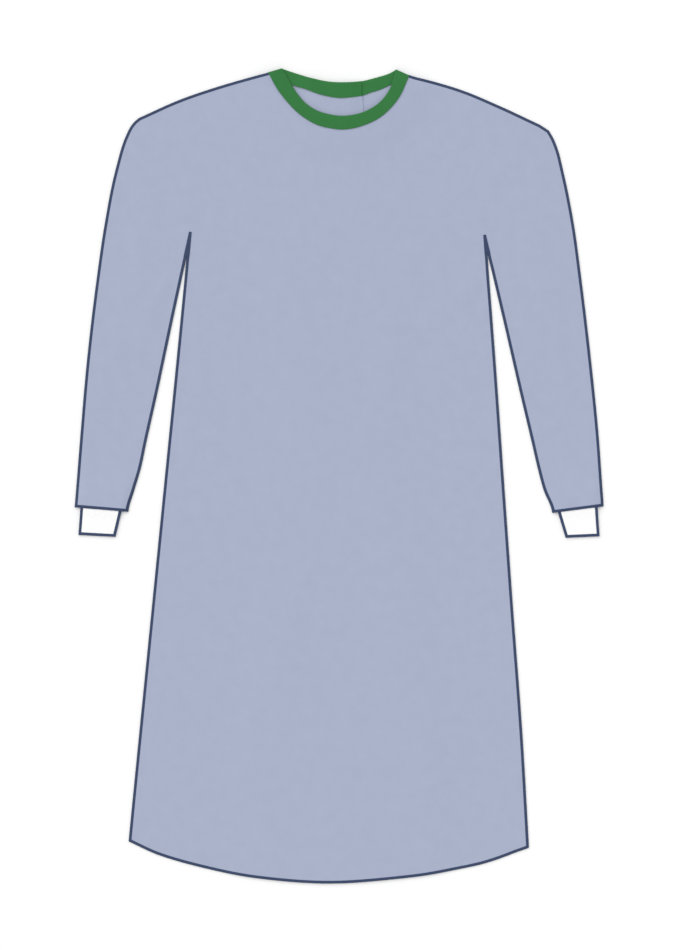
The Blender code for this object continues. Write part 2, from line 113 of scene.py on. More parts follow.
def rounded(points: np.ndarray, steps: int = 8) -> np.ndarray:
    """Run a smooth curve through a path and leave its sharp kinks sharp.

    Between two points it is the cubic whose end slopes are the means of the slopes on both sides, the shorter
    side weighing more. At a kink the slope is that of the span itself.

    Args:
        points: the path, one point a row.
        steps: how many points each span gets.

    Returns:
        The dense curve.
    """
    span = np.diff(points, axis=0)
    length = np.linalg.norm(span, axis=1)[:, None]
    slope = span / length
    kink = np.concatenate(([True], (slope[:-1] * slope[1:]).sum(axis=1) < KINK_COSINE, [True]))[:, None]
    mean = (slope[:-1] * length[1:] + slope[1:] * length[:-1]) / (length[:-1] + length[1:])
    middle = np.vstack((slope[:1], mean, slope[-1:]))
    leaving = np.where(kink[:-1], slope, middle[:-1]) * length
    arriving = np.where(kink[1:], slope, middle[1:]) * length
    t = np.linspace(0.0, 1.0, steps, endpoint=False)[None, :, None]
    curve = (
        (2 * t**3 - 3 * t**2 + 1) * points[:-1, None]
        + (t**3 - 2 * t**2 + t) * leaving[:, None]
        + (3 * t**2 - 2 * t**3) * points[1:, None]
        + (t**3 - t**2) * arriving[:, None]
    )
    return np.vstack((curve.reshape(-1, points.shape[1]), points[-1:]))


def fade(distance: np.ndarray, start: float, end: float) -> np.ndarray:
    """Rise softly from 0 at start to 1 at end, as three squares less two cubes of the share.

    Args:
        distance: the distances to read.
        start: where the rise begins.
        end: where it is complete.

    Returns:
        One share from 0 to 1 for each distance.
    """
    share = np.clip((distance - start) / (end - start), 0.0, 1.0)
    return share * share * (3 - 2 * share)


def distance_to(points: np.ndarray, line: np.ndarray) -> np.ndarray:
    """Measure the shortest distance in plan from points to a path of straight spans.

    Args:
        points: any array whose last axis is a point in plan.
        line: the path, one point a row.

    Returns:
        One distance for each point.
    """
    flat = points.reshape(-1, 2)
    nearest = np.full(len(flat), np.inf)
    for start, end in zip(line[:-1], line[1:]):
        step = end - start
        share = np.clip((flat - start) @ step / max(step @ step, 1e-12), 0.0, 1.0)
        gap = flat - start - share[:, None] * step
        nearest = np.minimum(nearest, (gap**2).sum(axis=1))
    return np.sqrt(nearest).reshape(points.shape[:-1])


def waver(values: np.ndarray, pitch: float, seed: float) -> np.ndarray:
    """Wave unevenly between -1 and 1: three sines whose pitches have no common measure.

    Args:
        values: distances to wave along.
        pitch: the length of the middle wave.
        seed: shifts the waves, so that two rows differ.

    Returns:
        One value for each distance.
    """
    turn = 2 * np.pi * values / pitch
    waves = np.sin(turn + seed) + 0.7 * np.sin(0.61 * turn + 2.3 * seed) + 0.5 * np.sin(1.73 * turn + 4.1 * seed)
    return waves / 2.2


def stretch_between(line: np.ndarray, first: np.ndarray, last: np.ndarray) -> np.ndarray:
    """Cut the stretch of a path that runs between the points nearest to two given ones.

    Args:
        line: the path, one point a row.
        first: the stretch starts near it.
        last: the stretch ends near it.

    Returns:
        The stretch, from first to last.
    """
    start, end = (int(np.argmin(np.linalg.norm(line - np.asarray(point), axis=1))) for point in (first, last))
    return line[start : end + 1] if start < end else line[end : start + 1][::-1]


def moved_aside(line: np.ndarray, amount: float, away_from: tuple[float, float]) -> np.ndarray:
    """Move a path sideways by one distance, away from a point.

    Args:
        line: the path, one point a row.
        amount: how far it moves.
        away_from: the point that it moves away from.

    Returns:
        The moved path.
    """
    tangent = np.gradient(line, axis=0)
    normal = np.column_stack((-tangent[:, 1], tangent[:, 0]))
    normal /= np.linalg.norm(normal, axis=1)[:, None]
    middle = len(line) // 2
    side = np.sign((line[middle] - np.array(away_from)) @ normal[middle])
    return line + side * amount * normal


def settled(values: np.ndarray, rounds: int) -> np.ndarray:
    """Smooth a row of values or points: each moves to a quarter, a half and a quarter of it and its neighbours.

    Args:
        values: one value or point a row. The two ends stay.
        rounds: how often it is smoothed.

    Returns:
        The smoothed row.
    """
    values = values.copy()
    for _ in range(rounds):
        values[1:-1] = (values[:-2] + 2 * values[1:-1] + values[2:]) / 4
    return values


class PlanSkin:
    """A skin of triangles whose height can be read over any point in plan."""

    def __init__(self, points: np.ndarray, faces: np.ndarray) -> None:
        """Keep the triangles and lay a flat copy of them out for looking up.

        Args:
            points: the skin's points.
            faces: three point numbers a row.
        """
        self.points = points
        self.faces = faces
        plan = points.copy()
        plan[:, 2] = 0.0
        self.plan_tree = BVHTree.FromPolygons(plan.tolist(), faces.tolist())

    @classmethod
    def of_grid(cls, grid: np.ndarray) -> "PlanSkin":
        """Make a skin from a grid of points.

        Args:
            grid: the points, rows and columns first.

        Returns:
            The skin.
        """
        quads = grid_quads(*grid.shape[:2])
        return cls(grid.reshape(-1, 3), np.vstack((quads[:, :3], quads[:, [0, 2, 3]])))

    def heights(self, plan: np.ndarray) -> np.ndarray:
        """Read the skin's height over points in plan, from the plane of the nearest triangle.

        Args:
            plan: any array whose last axis is a point in plan.

        Returns:
            One height for each point.
        """
        flat = plan.reshape(-1, 2)
        hit = np.array([self.plan_tree.find_nearest((x, y, 0.0))[2] for x, y in flat.tolist()])
        corners = self.points[self.faces[hit]]
        normals = np.cross(corners[:, 1] - corners[:, 0], corners[:, 2] - corners[:, 0])
        offset = flat - corners[:, 0, :2]
        rise = -(normals[:, :2] * offset).sum(axis=1) / normals[:, 2]
        level = np.clip(corners[:, 0, 2] + rise, corners[..., 2].min(axis=1), corners[..., 2].max(axis=1))
        return level.reshape(plan.shape[:-1])


class SolidForm(PlanSkin):
    """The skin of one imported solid: its outline in plan and its heights."""

    def __init__(self, node: str, skin: Skin = Skin.TOP) -> None:
        """Read a solid's mesh and keep the triangles that are seen first from one side.

        Args:
            node: the solid's name.
            skin: the side that it is read from.
        """
        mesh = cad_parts[node].data
        mesh.calc_loop_triangles()
        points = np.array([vertex.co for vertex in mesh.vertices], dtype=float)
        faces = np.array([triangle.vertices for triangle in mesh.loop_triangles])
        _, first, merged = np.unique(np.round(points, 6), axis=0, return_index=True, return_inverse=True)
        points, faces = points[first], merged.reshape(-1)[faces]
        super().__init__(points, faces[self._seen_first(points, faces, skin)])

    @staticmethod
    def _seen_first(points: np.ndarray, faces: np.ndarray, skin: Skin) -> np.ndarray:
        """Pick the triangles that face one way and have nothing of the solid before them.

        Args:
            points: the solid's points.
            faces: the solid's triangles.
            skin: the side that it is read from.

        Returns:
            True for each triangle that is kept.
        """
        whole = BVHTree.FromPolygons(points.tolist(), faces.tolist())
        corners = points[faces]
        normals = np.cross(corners[:, 1] - corners[:, 0], corners[:, 2] - corners[:, 0])
        length = np.linalg.norm(normals, axis=1)
        facing = skin.value * normals[:, 2] > 0.5 * np.maximum(length, 1e-15)
        away = Vector((0.0, 0.0, skin.value))
        centres = corners.mean(axis=1)
        clear = [whole.ray_cast(Vector(centre) + away * 1e-5, away)[0] is None for centre in centres]
        return facing & np.array(clear)

    def outline(self) -> np.ndarray:
        """Chain the skin's open edges into its outline in plan.

        Returns:
            The closed outline, one point a row, without repeating the first.
        """
        edges = np.vstack([self.faces[:, [k, (k + 1) % 3]] for k in range(3)])
        low_high = np.sort(edges, axis=1)
        _, first, count = np.unique(low_high, axis=0, return_index=True, return_counts=True)
        open_edges = edges[first[count == 1]]
        after = dict(open_edges.tolist())
        loops = []
        while after:
            start, point = after.popitem()
            loop = [start]
            while point != start:
                loop.append(point)
                point = after.pop(point)
            loops.append(loop)
        return self.points[max(loops, key=len), :2]

    def sides(self, corners: tuple[tuple[float, float], ...]) -> list[np.ndarray]:
        """Cut the outline at four corners, each the point that lies furthest one way.

        Args:
            corners: directions to the bottom start, bottom end, top end and top start corners.

        Returns:
            The bottom, end, top and start sides. Bottom and top run from start to end, the others upwards.
        """
        loop = self.outline()
        index = [int(np.argmax(loop @ np.array(direction))) for direction in corners]
        loop = np.roll(loop, -index[0], axis=0)
        places = [(place - index[0]) % len(loop) for place in index]
        if places[1] > places[3]:
            loop = np.roll(loop[::-1], 1, axis=0)
            places = [(len(loop) - place) % len(loop) for place in places]
        ring = np.vstack((loop, loop[:1]))
        places.append(len(loop))
        cuts = [ring[places[k] : places[k + 1] + 1] for k in range(4)]
        return [cuts[0], cuts[1], cuts[2][::-1], cuts[3][::-1]]


def blended_grid(sides: list[np.ndarray], rows: int, columns: int, level: float) -> np.ndarray:
    """Fill the space between four sides with a grid in plan.

    Each point is the row blend of bottom and top, plus the column blend of start and end, less the blend of the
    four corners. Level 1 keeps the bends of start and end out of the middle columns.

    Args:
        sides: the bottom, end, top and start sides.
        rows: cells from bottom to top.
        columns: cells from start to end.
        level: from 0 to 1.

    Returns:
        The grid, rows first.
    """
    share = np.linspace(0.0, 1.0, columns + 1)
    bottom, top = (at_shares(sides[side.value], share) for side in (Side.BOTTOM, Side.TOP))
    start, end = (at_shares(sides[side.value], np.linspace(0.0, 1.0, rows + 1)) for side in (Side.START, Side.END))
    across = ((1 - level) * share + level * (0.5 + 4 * (share - 0.5) ** 3))[None, :, None]
    up = np.linspace(0.0, 1.0, rows + 1)[:, None, None]
    row_blend = (1 - up) * bottom[None] + up * top[None]
    column_blend = (1 - across) * start[:, None] + across * end[:, None]
    low = (1 - across) * bottom[0] + across * bottom[-1]
    high = (1 - across) * top[0] + across * top[-1]
    return row_blend + column_blend - ((1 - up) * low + up * high)


def eased(grid: np.ndarray, rounds: int) -> np.ndarray:
    """Even out a grid's inside: each point moves to the mean of its four neighbours, the rim stays.

    Args:
        grid: values or points, rows and columns first.
        rounds: how often the inside moves.

    Returns:
        The eased grid.
    """
    grid = grid.copy()
    for _ in range(rounds):
        inside = grid[:-2, 1:-1] + grid[2:, 1:-1] + grid[1:-1, :-2] + grid[1:-1, 2:]
        grid[1:-1, 1:-1] = inside / 4
    return grid


def grid_quads(rows: int, columns: int) -> np.ndarray:
    """List the four-sided faces of a grid, each turned from a row to the next column and row.

    Args:
        rows: points from bottom to top.
        columns: points from start to end.

    Returns:
        Four point numbers for each face.
    """
    index = np.arange(rows * columns).reshape(rows, columns)
    return np.stack((index[:-1, :-1], index[:-1, 1:], index[1:, 1:], index[1:, :-1]), axis=-1).reshape(-1, 4)


def new_piece(name: str, points: np.ndarray, quads: np.ndarray, chart: np.ndarray) -> bpy.types.Object:
    """Put points, faces and a UV chart in metres into a new smooth object at the origin.

    Args:
        name: the piece's name.
        points: one point a row.
        quads: four point numbers for each face.
        chart: one pair of lengths for each point.

    Returns:
        The object, linked to the scene.
    """
    mesh = bpy.data.meshes.new(name)
    mesh.from_pydata(points.tolist(), [], quads.tolist())
    layer = mesh.uv_layers.new(name="cloth")
    layer.data.foreach_set("uv", chart[quads.ravel()].astype(np.float32).ravel())
    mesh.polygons.foreach_set("use_smooth", np.ones(len(quads), dtype=bool))
    mesh.update()
    mesh.set_sharp_from_angle(angle=np.radians(50))
    item = bpy.data.objects.new(name, mesh)
    bpy.context.scene.collection.objects.link(item)
    return item


def shell_piece(name: str, under: np.ndarray, over: np.ndarray, chart: np.ndarray) -> bpy.types.Object:
    """Close two grids of points into one thin wall: upper faces, lower faces and the rim between them.

    Args:
        name: the piece's name.
        under: the lower grid, rows and columns first.
        over: the upper grid, of the same size.
        chart: a pair of lengths for each point of a grid.

    Returns:
        The wall's object.
    """
    rows, columns = under.shape[:2]
    a = over[:-1, :-1, :2]
    turn = np.cross(over[:-1, 1:, :2] - a, over[1:, :-1, :2] - a).sum()
    quads = grid_quads(rows, columns)
    if turn < 0:
        quads = quads[:, ::-1]
    size = rows * columns
    index = np.arange(size).reshape(rows, columns)
    loop = np.concatenate((index[0, :-1], index[:-1, -1], index[-1, :0:-1], index[:0:-1, 0]))
    if turn < 0:
        loop = loop[::-1]
    after = np.roll(loop, -1)
    rim = np.column_stack((loop, after, after + size, loop + size))
    faces = np.vstack((quads[:, ::-1], quads + size, rim))
    points = np.vstack((under.reshape(-1, 3), over.reshape(-1, 3)))
    return new_piece(name, points, faces, np.tile(chart.reshape(-1, 2), (2, 1)))


def swept_piece(name: str, rings: np.ndarray, chart: np.ndarray) -> bpy.types.Object:
    """Join closed rings of points into one tube and close its two ends with fans of four-sided faces.

    Args:
        name: the piece's name.
        rings: stations first, then the points of each ring, an even number of them.
        chart: a pair of lengths for each point.

    Returns:
        The tube's object, its faces outwards.
    """
    stations, corners = rings.shape[:2]
    index = np.arange(stations * corners).reshape(stations, corners)
    after = np.roll(index, -1, axis=1)
    sides = np.stack((index[:-1], after[:-1], after[1:], index[1:]), axis=-1).reshape(-1, 4)
    k = np.arange(corners // 2 - 1)
    cap = np.column_stack((k, k + 1, corners - 2 - k, corners - 1 - k))
    faces = np.vstack((sides, index[0][cap[:, ::-1]], index[-1][cap]))
    points = rings.reshape(-1, 3)
    a, b, c, d = (points[faces[:, corner]] for corner in range(4))
    volume = (np.cross(b - a, c - a) * a).sum() + (np.cross(c - a, d - a) * a).sum()
    if volume < 0:
        faces = faces[:, ::-1]
    return new_piece(name, points, faces, chart.reshape(-1, 2))


@dataclass(frozen=True)
class Crease:
    """One soft crease in the cloth: a line in plan with a height, a width and a bend.

    Lengths are in millimetres. The ends fade out over a third of the line.
    """

    start: tuple[float, float]
    end: tuple[float, float]
    height: float
    width: float
    bend: float = 0.0
    form: Form = Form.RIDGE

    def rise(self, plan: np.ndarray) -> np.ndarray:
        """Give the crease's height over points in plan: a bell across the line, a soft arch along it.

        Args:
            plan: any array whose last axis is a point in plan.

        Returns:
            One height for each point.
        """
        start, end = np.array(self.start) * MM, np.array(self.end) * MM
        length = float(np.linalg.norm(end - start))
        run = (end - start) / length
        share = (plan - start) @ run / length
        aside = (plan - start) @ np.array((-run[1], run[0]))
        bow = self.bend * MM * (4 * share * (1 - share) + 0.25 * np.sin(7.1 * share + self.height))
        bell = np.exp(-(((aside - bow) / (self.width * MM)) ** 2))
        arch = fade(share, -0.12, 0.3) * (1 - fade(share, 0.7, 1.12))
        return self.form.value * self.height * MM * bell * arch


def relief_of(creases: tuple[Crease, ...], plan: np.ndarray) -> np.ndarray:
    """Add up the heights of several creases.

    Args:
        creases: the creases.
        plan: any array whose last axis is a point in plan.

    Returns:
        One height for each point.
    """
    total = np.zeros(plan.shape[:-1])
    for crease in creases:
        total += crease.rise(plan)
    return total


def rim_of(grid: np.ndarray) -> np.ndarray:
    """Walk once round a grid's rim.

    Args:
        grid: the grid, rows and columns first.

    Returns:
        The closed rim, its last point the same as its first.
    """
    return np.vstack((grid[0], grid[1:, -1], grid[-1, -2::-1], grid[-2::-1, 0]))


def inward_normals(rim: np.ndarray, inside: np.ndarray) -> np.ndarray:
    """Find the direction from each rim point into the piece, square to the rim.

    Args:
        rim: one side of the piece, one point a row.
        inside: the next line of the grid, point by point.

    Returns:
        One unit direction a row.
    """
    tangent = np.gradient(rim, axis=0)
    normal = np.column_stack((-tangent[:, 1], tangent[:, 0]))
    normal /= np.linalg.norm(normal, axis=1)[:, None]
    middle = len(rim) // 2
    return normal * np.sign((normal[middle] * (inside - rim)[middle]).sum())


@dataclass
class ClothPanel:
    """A cut panel of the nonwoven cloth: a thin wall on the solid's form with its own soft relief.

    A drawn side replaces the solid's own points from the side's lower end to the drawn side's last point. The
    corner drop lets the corner between bottom and end hang lower, fading as a bell along both sides.
    """

    node: str
    corners: tuple[tuple[float, float], ...]
    cells: tuple[int, int]
    creases: tuple[Crease, ...]
    rests_on: tuple[str, ...]
    level: float = 0.0
    relief_range: tuple[float, float] = (-0.3, 1.6)
    joined_top: bool = False
    joined_above: dict[Side, float] = field(default_factory=dict)
    drawn_sides: dict[Side, np.ndarray] = field(default_factory=dict)
    lapped_on: PlanSkin | None = None
    lap_side: Side | None = None
    pucker: float = 0.3
    corner_drop: float = 0.0
    easing: int = 40
    piece: bpy.types.Object = field(default=None, init=False)
    joined_line: np.ndarray | None = field(default=None, init=False)
    sides: list[np.ndarray] = field(default_factory=list, init=False)
    skins: dict[Skin, PlanSkin] = field(default_factory=dict, init=False)

    def _moved_rims(self, grid: np.ndarray) -> np.ndarray:
        """Move each rim in under its thread edge. A rim joined to a panel stays, a lapped one goes into the tape.

        Args:
            grid: the grid in plan.

        Returns:
            The grid with its rims moved.
        """
        moved = grid.copy()
        rims = {
            Side.BOTTOM: (0, slice(None), 1, slice(None)),
            Side.TOP: (-1, slice(None), -2, slice(None)),
            Side.START: (slice(None), 0, slice(None), 1),
            Side.END: (slice(None), -1, slice(None), -2),
        }
        for side, (row, column, next_row, next_column) in rims.items():
            rim = grid[row, column]
            joined = self.joined_top if side is Side.TOP else rim[:, 1] > self.joined_above.get(side, 10.0)
            amount = np.where(joined, 0.0, 0.4 * MM) * np.ones(len(rim))
            if side is self.lap_side:
                amount = (0.4 + 1.3 * fade(rim[:, 1], 594 * MM, 603 * MM)) * MM
            moved[row, column] += amount[:, None] * inward_normals(rim, grid[next_row, next_column])
        return moved

    def _lap_drop(self, plan: np.ndarray, under: np.ndarray) -> np.ndarray:
        """Let the lapped edge sink until it lies on the layer below, less so where the neck's tape holds it.

        Args:
            plan: the grid in plan.
            under: the height of the panel's underside.

        Returns:
            How far each point sinks.
        """
        if self.lapped_on is None:
            return np.zeros(under.shape)
        near = 1 - fade(distance_to(plan, self.sides[Side.END.value]), 2 * MM, 26 * MM)
        free = np.maximum(under - self.lapped_on.heights(plan) - 0.42 * MM, 0.0)
        held = fade(plan[..., 1], 598 * MM, 609 * MM)
        return near * (free * (1 - held) + np.minimum(free, 1.2 * MM) * held)

    def _relief(self, plan: np.ndarray) -> np.ndarray:
        """Add creases, slack and seam puckers, all still at the rim.

        Args:
            plan: the grid in plan.

        Returns:
            One height for each point of the grid.
        """
        edge = distance_to(plan, rim_of(plan)[::2])
        low, high = (value * MM for value in self.relief_range)
        slack = 0.22 * MM * waver(plan[..., 0] + 0.35 * plan[..., 1], 0.21, 1.3)
        slack += 0.18 * MM * waver(plan[..., 1] - 0.2 * plan[..., 0], 0.34, 2.1)
        pucker = self.pucker * MM * waver(plan[..., 1] + 0.8 * plan[..., 0], 0.019, 0.7)
        pucker *= np.exp(-(((edge - 9 * MM) / (5 * MM)) ** 2))
        total = (relief_of(self.creases, plan) + slack) * fade(edge, 5 * MM, 26 * MM) + pucker
        total = np.where(total > 0, high * np.tanh(total / high), low * np.tanh(total / low))
        return total * fade(edge, 4.8 * MM, 9 * MM)

    def build(self, finish: bpy.types.Material) -> None:
        """Make the panel and its skins and finish it.

        Args:
            finish: the cloth's material.
        """
        form = SolidForm(self.node)
        rows, columns = self.cells
        solid_sides = form.sides(self.corners)
        for side, drawn in self.drawn_sides.items():
            solid = solid_sides[side.value]
            goes_on = int(np.argmin(np.linalg.norm(solid - drawn[-1], axis=1)))
            solid_sides[side.value] = np.vstack((solid[:1], drawn, solid[goes_on + 1 :]))
        self.sides = [rounded(side) for side in solid_sides]
        if self.joined_line is not None:
            self.sides[Side.TOP.value] = self.joined_line
            self.sides[Side.START.value][-1] = self.joined_line[0]
            self.sides[Side.END.value][-1] = self.joined_line[-1]
        if self.corner_drop:
            corner = self.sides[Side.END.value][0].copy()
            for side in (Side.BOTTOM, Side.END):
                line = self.sides[side.value]
                near = np.exp(-((np.linalg.norm(line - corner, axis=1) / (20 * MM)) ** 2))
                line[:, 1] -= self.corner_drop * near
        grid = blended_grid(self.sides, rows, columns, self.level)
        for side, drawn in self.drawn_sides.items():
            column = 0 if side is Side.START else -1
            for place in drawn[-2:-1] if self.joined_top else drawn[-2:]:
                grid[np.argmin(np.linalg.norm(grid[:, column] - place, axis=1)), column] = place
        grid = eased(grid, self.easing)
        level = eased(form.heights(grid), 12)
        moved = self._moved_rims(grid)
        top = level - CLOTH_INSET + self._relief(grid)
        over = np.dstack((moved, top - self._lap_drop(grid, top - CLOTH_WALL)))
        under = over - np.array((0.0, 0.0, CLOTH_WALL))
        self.skins = {Skin.TOP: PlanSkin.of_grid(over), Skin.UNDER: PlanSkin.of_grid(under)}
        self.piece = shell_piece(f"cloth_{self.node}", under, over, moved)
        self.piece.data.materials.append(finish)
        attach(self.piece, "root")
        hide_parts(self.node)

    def declare(self, edges: list[bpy.types.Object]) -> None:
        """Log the panel's faces and how large it was cut.

        Args:
            edges: the thread edges on it, not used.
        """
        rim = np.vstack((self.sides[0], self.sides[1], self.sides[2][::-1], self.sides[3][::-1]))
        size = np.ptp(rim, axis=0)
        list(self.rests_on)
        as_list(edges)
        LOG.info("%s: %d faces, cut %.0f x %.0f mm", self.piece.name, len(self.piece.data.polygons), *(size / MM))


@dataclass
class ThreadEdge:
    """An overlocked edge: thread wrapped round the rim of one layer or of a sewn stack of layers.

    The trims leave the ends free. A lifted end passes over the edge that it crosses.
    """

    name: str
    line: np.ndarray
    inside: np.ndarray
    over: PlanSkin
    under: PlanSkin
    trims: tuple[float, float] = (0.0, 0.0)
    lifted: bool = False
    end_skew: float = 0.0
    band: float = SEAM_BAND
    wall: float = 0.2 * MM
    pitch: float = 2.6 * MM
    ridge: float = 0.1 * MM

    def _stations(self) -> tuple[np.ndarray, np.ndarray, np.ndarray]:
        """Space the stations evenly, three to a stitch.

        Returns:
            The points of the rim, their inward directions and their places along it.
        """
        places = along(self.line)
        start, end = self.trims[0], places[-1] - self.trims[1]
        count = max(int(round((end - start) / (self.pitch / 3))), 6)
        wanted = np.linspace(start, end, count + 1)
        points = np.column_stack([np.interp(wanted, places, self.line[:, axis]) for axis in range(2)])
        tangent = settled(np.gradient(points, axis=0), 4)
        normal = np.column_stack((-tangent[:, 1], tangent[:, 0]))
        normal /= np.linalg.norm(normal, axis=1)[:, None]
        middle = len(points) // 2
        side = np.sign((np.asarray(self.inside) - points[middle]) @ normal[middle])
        return points, side * normal, wanted

    def build(self, finish: bpy.types.Material) -> bpy.types.Object:
        """Sweep the folded section along the rim, its outside raised in slanting stitches.

        Args:
            finish: the thread's material.

        Returns:
            The edge's object.
        """
        points, inward, places = self._stations()
        share = np.array((1.0, 0.55, 0.08, 0.0))
        reach = np.broadcast_to(share[None] * self.band, (len(points), 4))
        plan = points[:, None] + inward[:, None] * np.maximum(reach, 0.5 * MM)[..., None]
        top = settled(self.over.heights(plan), 6)
        bottom = settled(self.under.heights(plan), 6)
        if self.lifted:
            from_end = np.minimum(places - places[0], places[-1] - places)
            top += (0.26 * MM * (1 - fade(from_end, 5 * MM, 8 * MM)))[:, None]
        phase = places[:, None] / self.pitch + 0.55 * share[None]
        wave = 0.5 + 0.5 * np.cos(2 * np.pi * phase)
        clear = 0.03 * MM
        top_outer = top + clear + self.wall + self.ridge * (wave - 0.5)
        bottom_outer = bottom - clear - self.wall + self.ridge * 0.5 * wave
        middle = (top_outer[:, 3:] + bottom_outer[:, 3:]) / 2
        half = (top_outer[:, 3:] - bottom_outer[:, 3:]) / 2
        outer_z = np.hstack((top_outer[:, :3], middle + 0.55 * half, middle - 0.55 * half, bottom_outer[:, 2::-1]))
        low_half = np.maximum(half - self.wall, 0.04 * MM)
        inner_z = np.hstack(
            (top[:, :3] + clear, middle + 0.9 * low_half, middle - 0.9 * low_half, bottom[:, 2::-1] - clear)
        )
        outer_u = np.hstack((reach, reach[:, ::-1]))
        inner_u = np.maximum(outer_u, 0.26 * MM)
        rings = np.concatenate(
            (self._placed(points, inward, outer_u, outer_z), self._placed(points, inward, inner_u, inner_z)[:, ::-1]),
            axis=1,
        )
        width = np.concatenate((share, -share[::-1]))
        width = np.concatenate((width, width[::-1])) * self.band
        chart = np.dstack(np.broadcast_arrays(places[:, None], width[None]))
        piece = swept_piece(self.name, rings, chart)
        piece.data.materials.append(finish)
        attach(piece, "root")
        return piece

    def _placed(self, points: np.ndarray, inward: np.ndarray, reach: np.ndarray, height: np.ndarray) -> np.ndarray:
        """Set section points in from the rim, the last ones slanting forward by the end's skew.

        Args:
            points: the rim's points.
            inward: their inward directions.
            reach: how far in each section point lies.
            height: its height.

        Returns:
            One ring of points for each station.
        """
        flat = points[:, None] + inward[:, None] * reach[..., None]
        if self.end_skew:
            tangent = np.gradient(points, axis=0)
            tangent /= np.linalg.norm(tangent, axis=1)[:, None]
            near_end = 1 - fade(along(points)[-1] - along(points), 0.0, 8 * MM)
            flat = flat + tangent[:, None] * (self.end_skew * near_end[:, None] * reach)[..., None]
        return np.dstack((flat, height))


@dataclass
class UnderarmTack:
    """Close stitching from the underarm point down to where the sleeve and the body part."""

    name: str
    line: np.ndarray
    skins: tuple[PlanSkin, PlanSkin]
    skin: Skin = Skin.TOP
    half_widths: tuple[float, float] = (2.2 * MM, 4.7 * MM)
    clear: float = 0.32 * MM
    wall: float = 0.2 * MM
    ridge: float = 0.06 * MM

    def build(self, finish: bpy.types.Material) -> bpy.types.Object:
        """Lay a long narrow wedge of thread on the seam, over the cloth or under it.

        Args:
            finish: the thread's material.

        Returns:
            The tack's object.
        """
        share = np.linspace(0.0, 1.0, 50)
        middle = at_shares(self.line, share)
        run = middle[-1] - middle[0]
        length = float(np.linalg.norm(run))
        across = np.array((-run[1], run[0])) / length
        half = (self.half_widths[0] + (self.half_widths[1] - self.half_widths[0]) * share)[:, None]
        reach = half * np.linspace(-1.0, 1.0, 9)[None]
        plan = middle[:, None] + across * reach[..., None]
        stitch = self.ridge * np.cos(2 * np.pi * (share[:, None] * length / (1.6 * MM) + 80 * reach))
        up = self.skin.value
        level = up * np.maximum(up * self.skins[0].heights(plan), up * self.skins[1].heights(plan)).max(axis=1)
        inside = settled(level, 6)[:, None] + up * self.clear
        inside, outside = np.broadcast_to(inside, stitch.shape), inside + up * (self.wall + stitch)
        under, over = (np.dstack((plan, height)) for height in ((inside, outside) if up > 0 else (outside, inside)))
        chart = np.dstack(np.broadcast_arrays(share[:, None] * length, reach))
        piece = shell_piece(self.name, under, over, chart)
        piece.data.materials.append(finish)
        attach(piece, "root")
        return piece


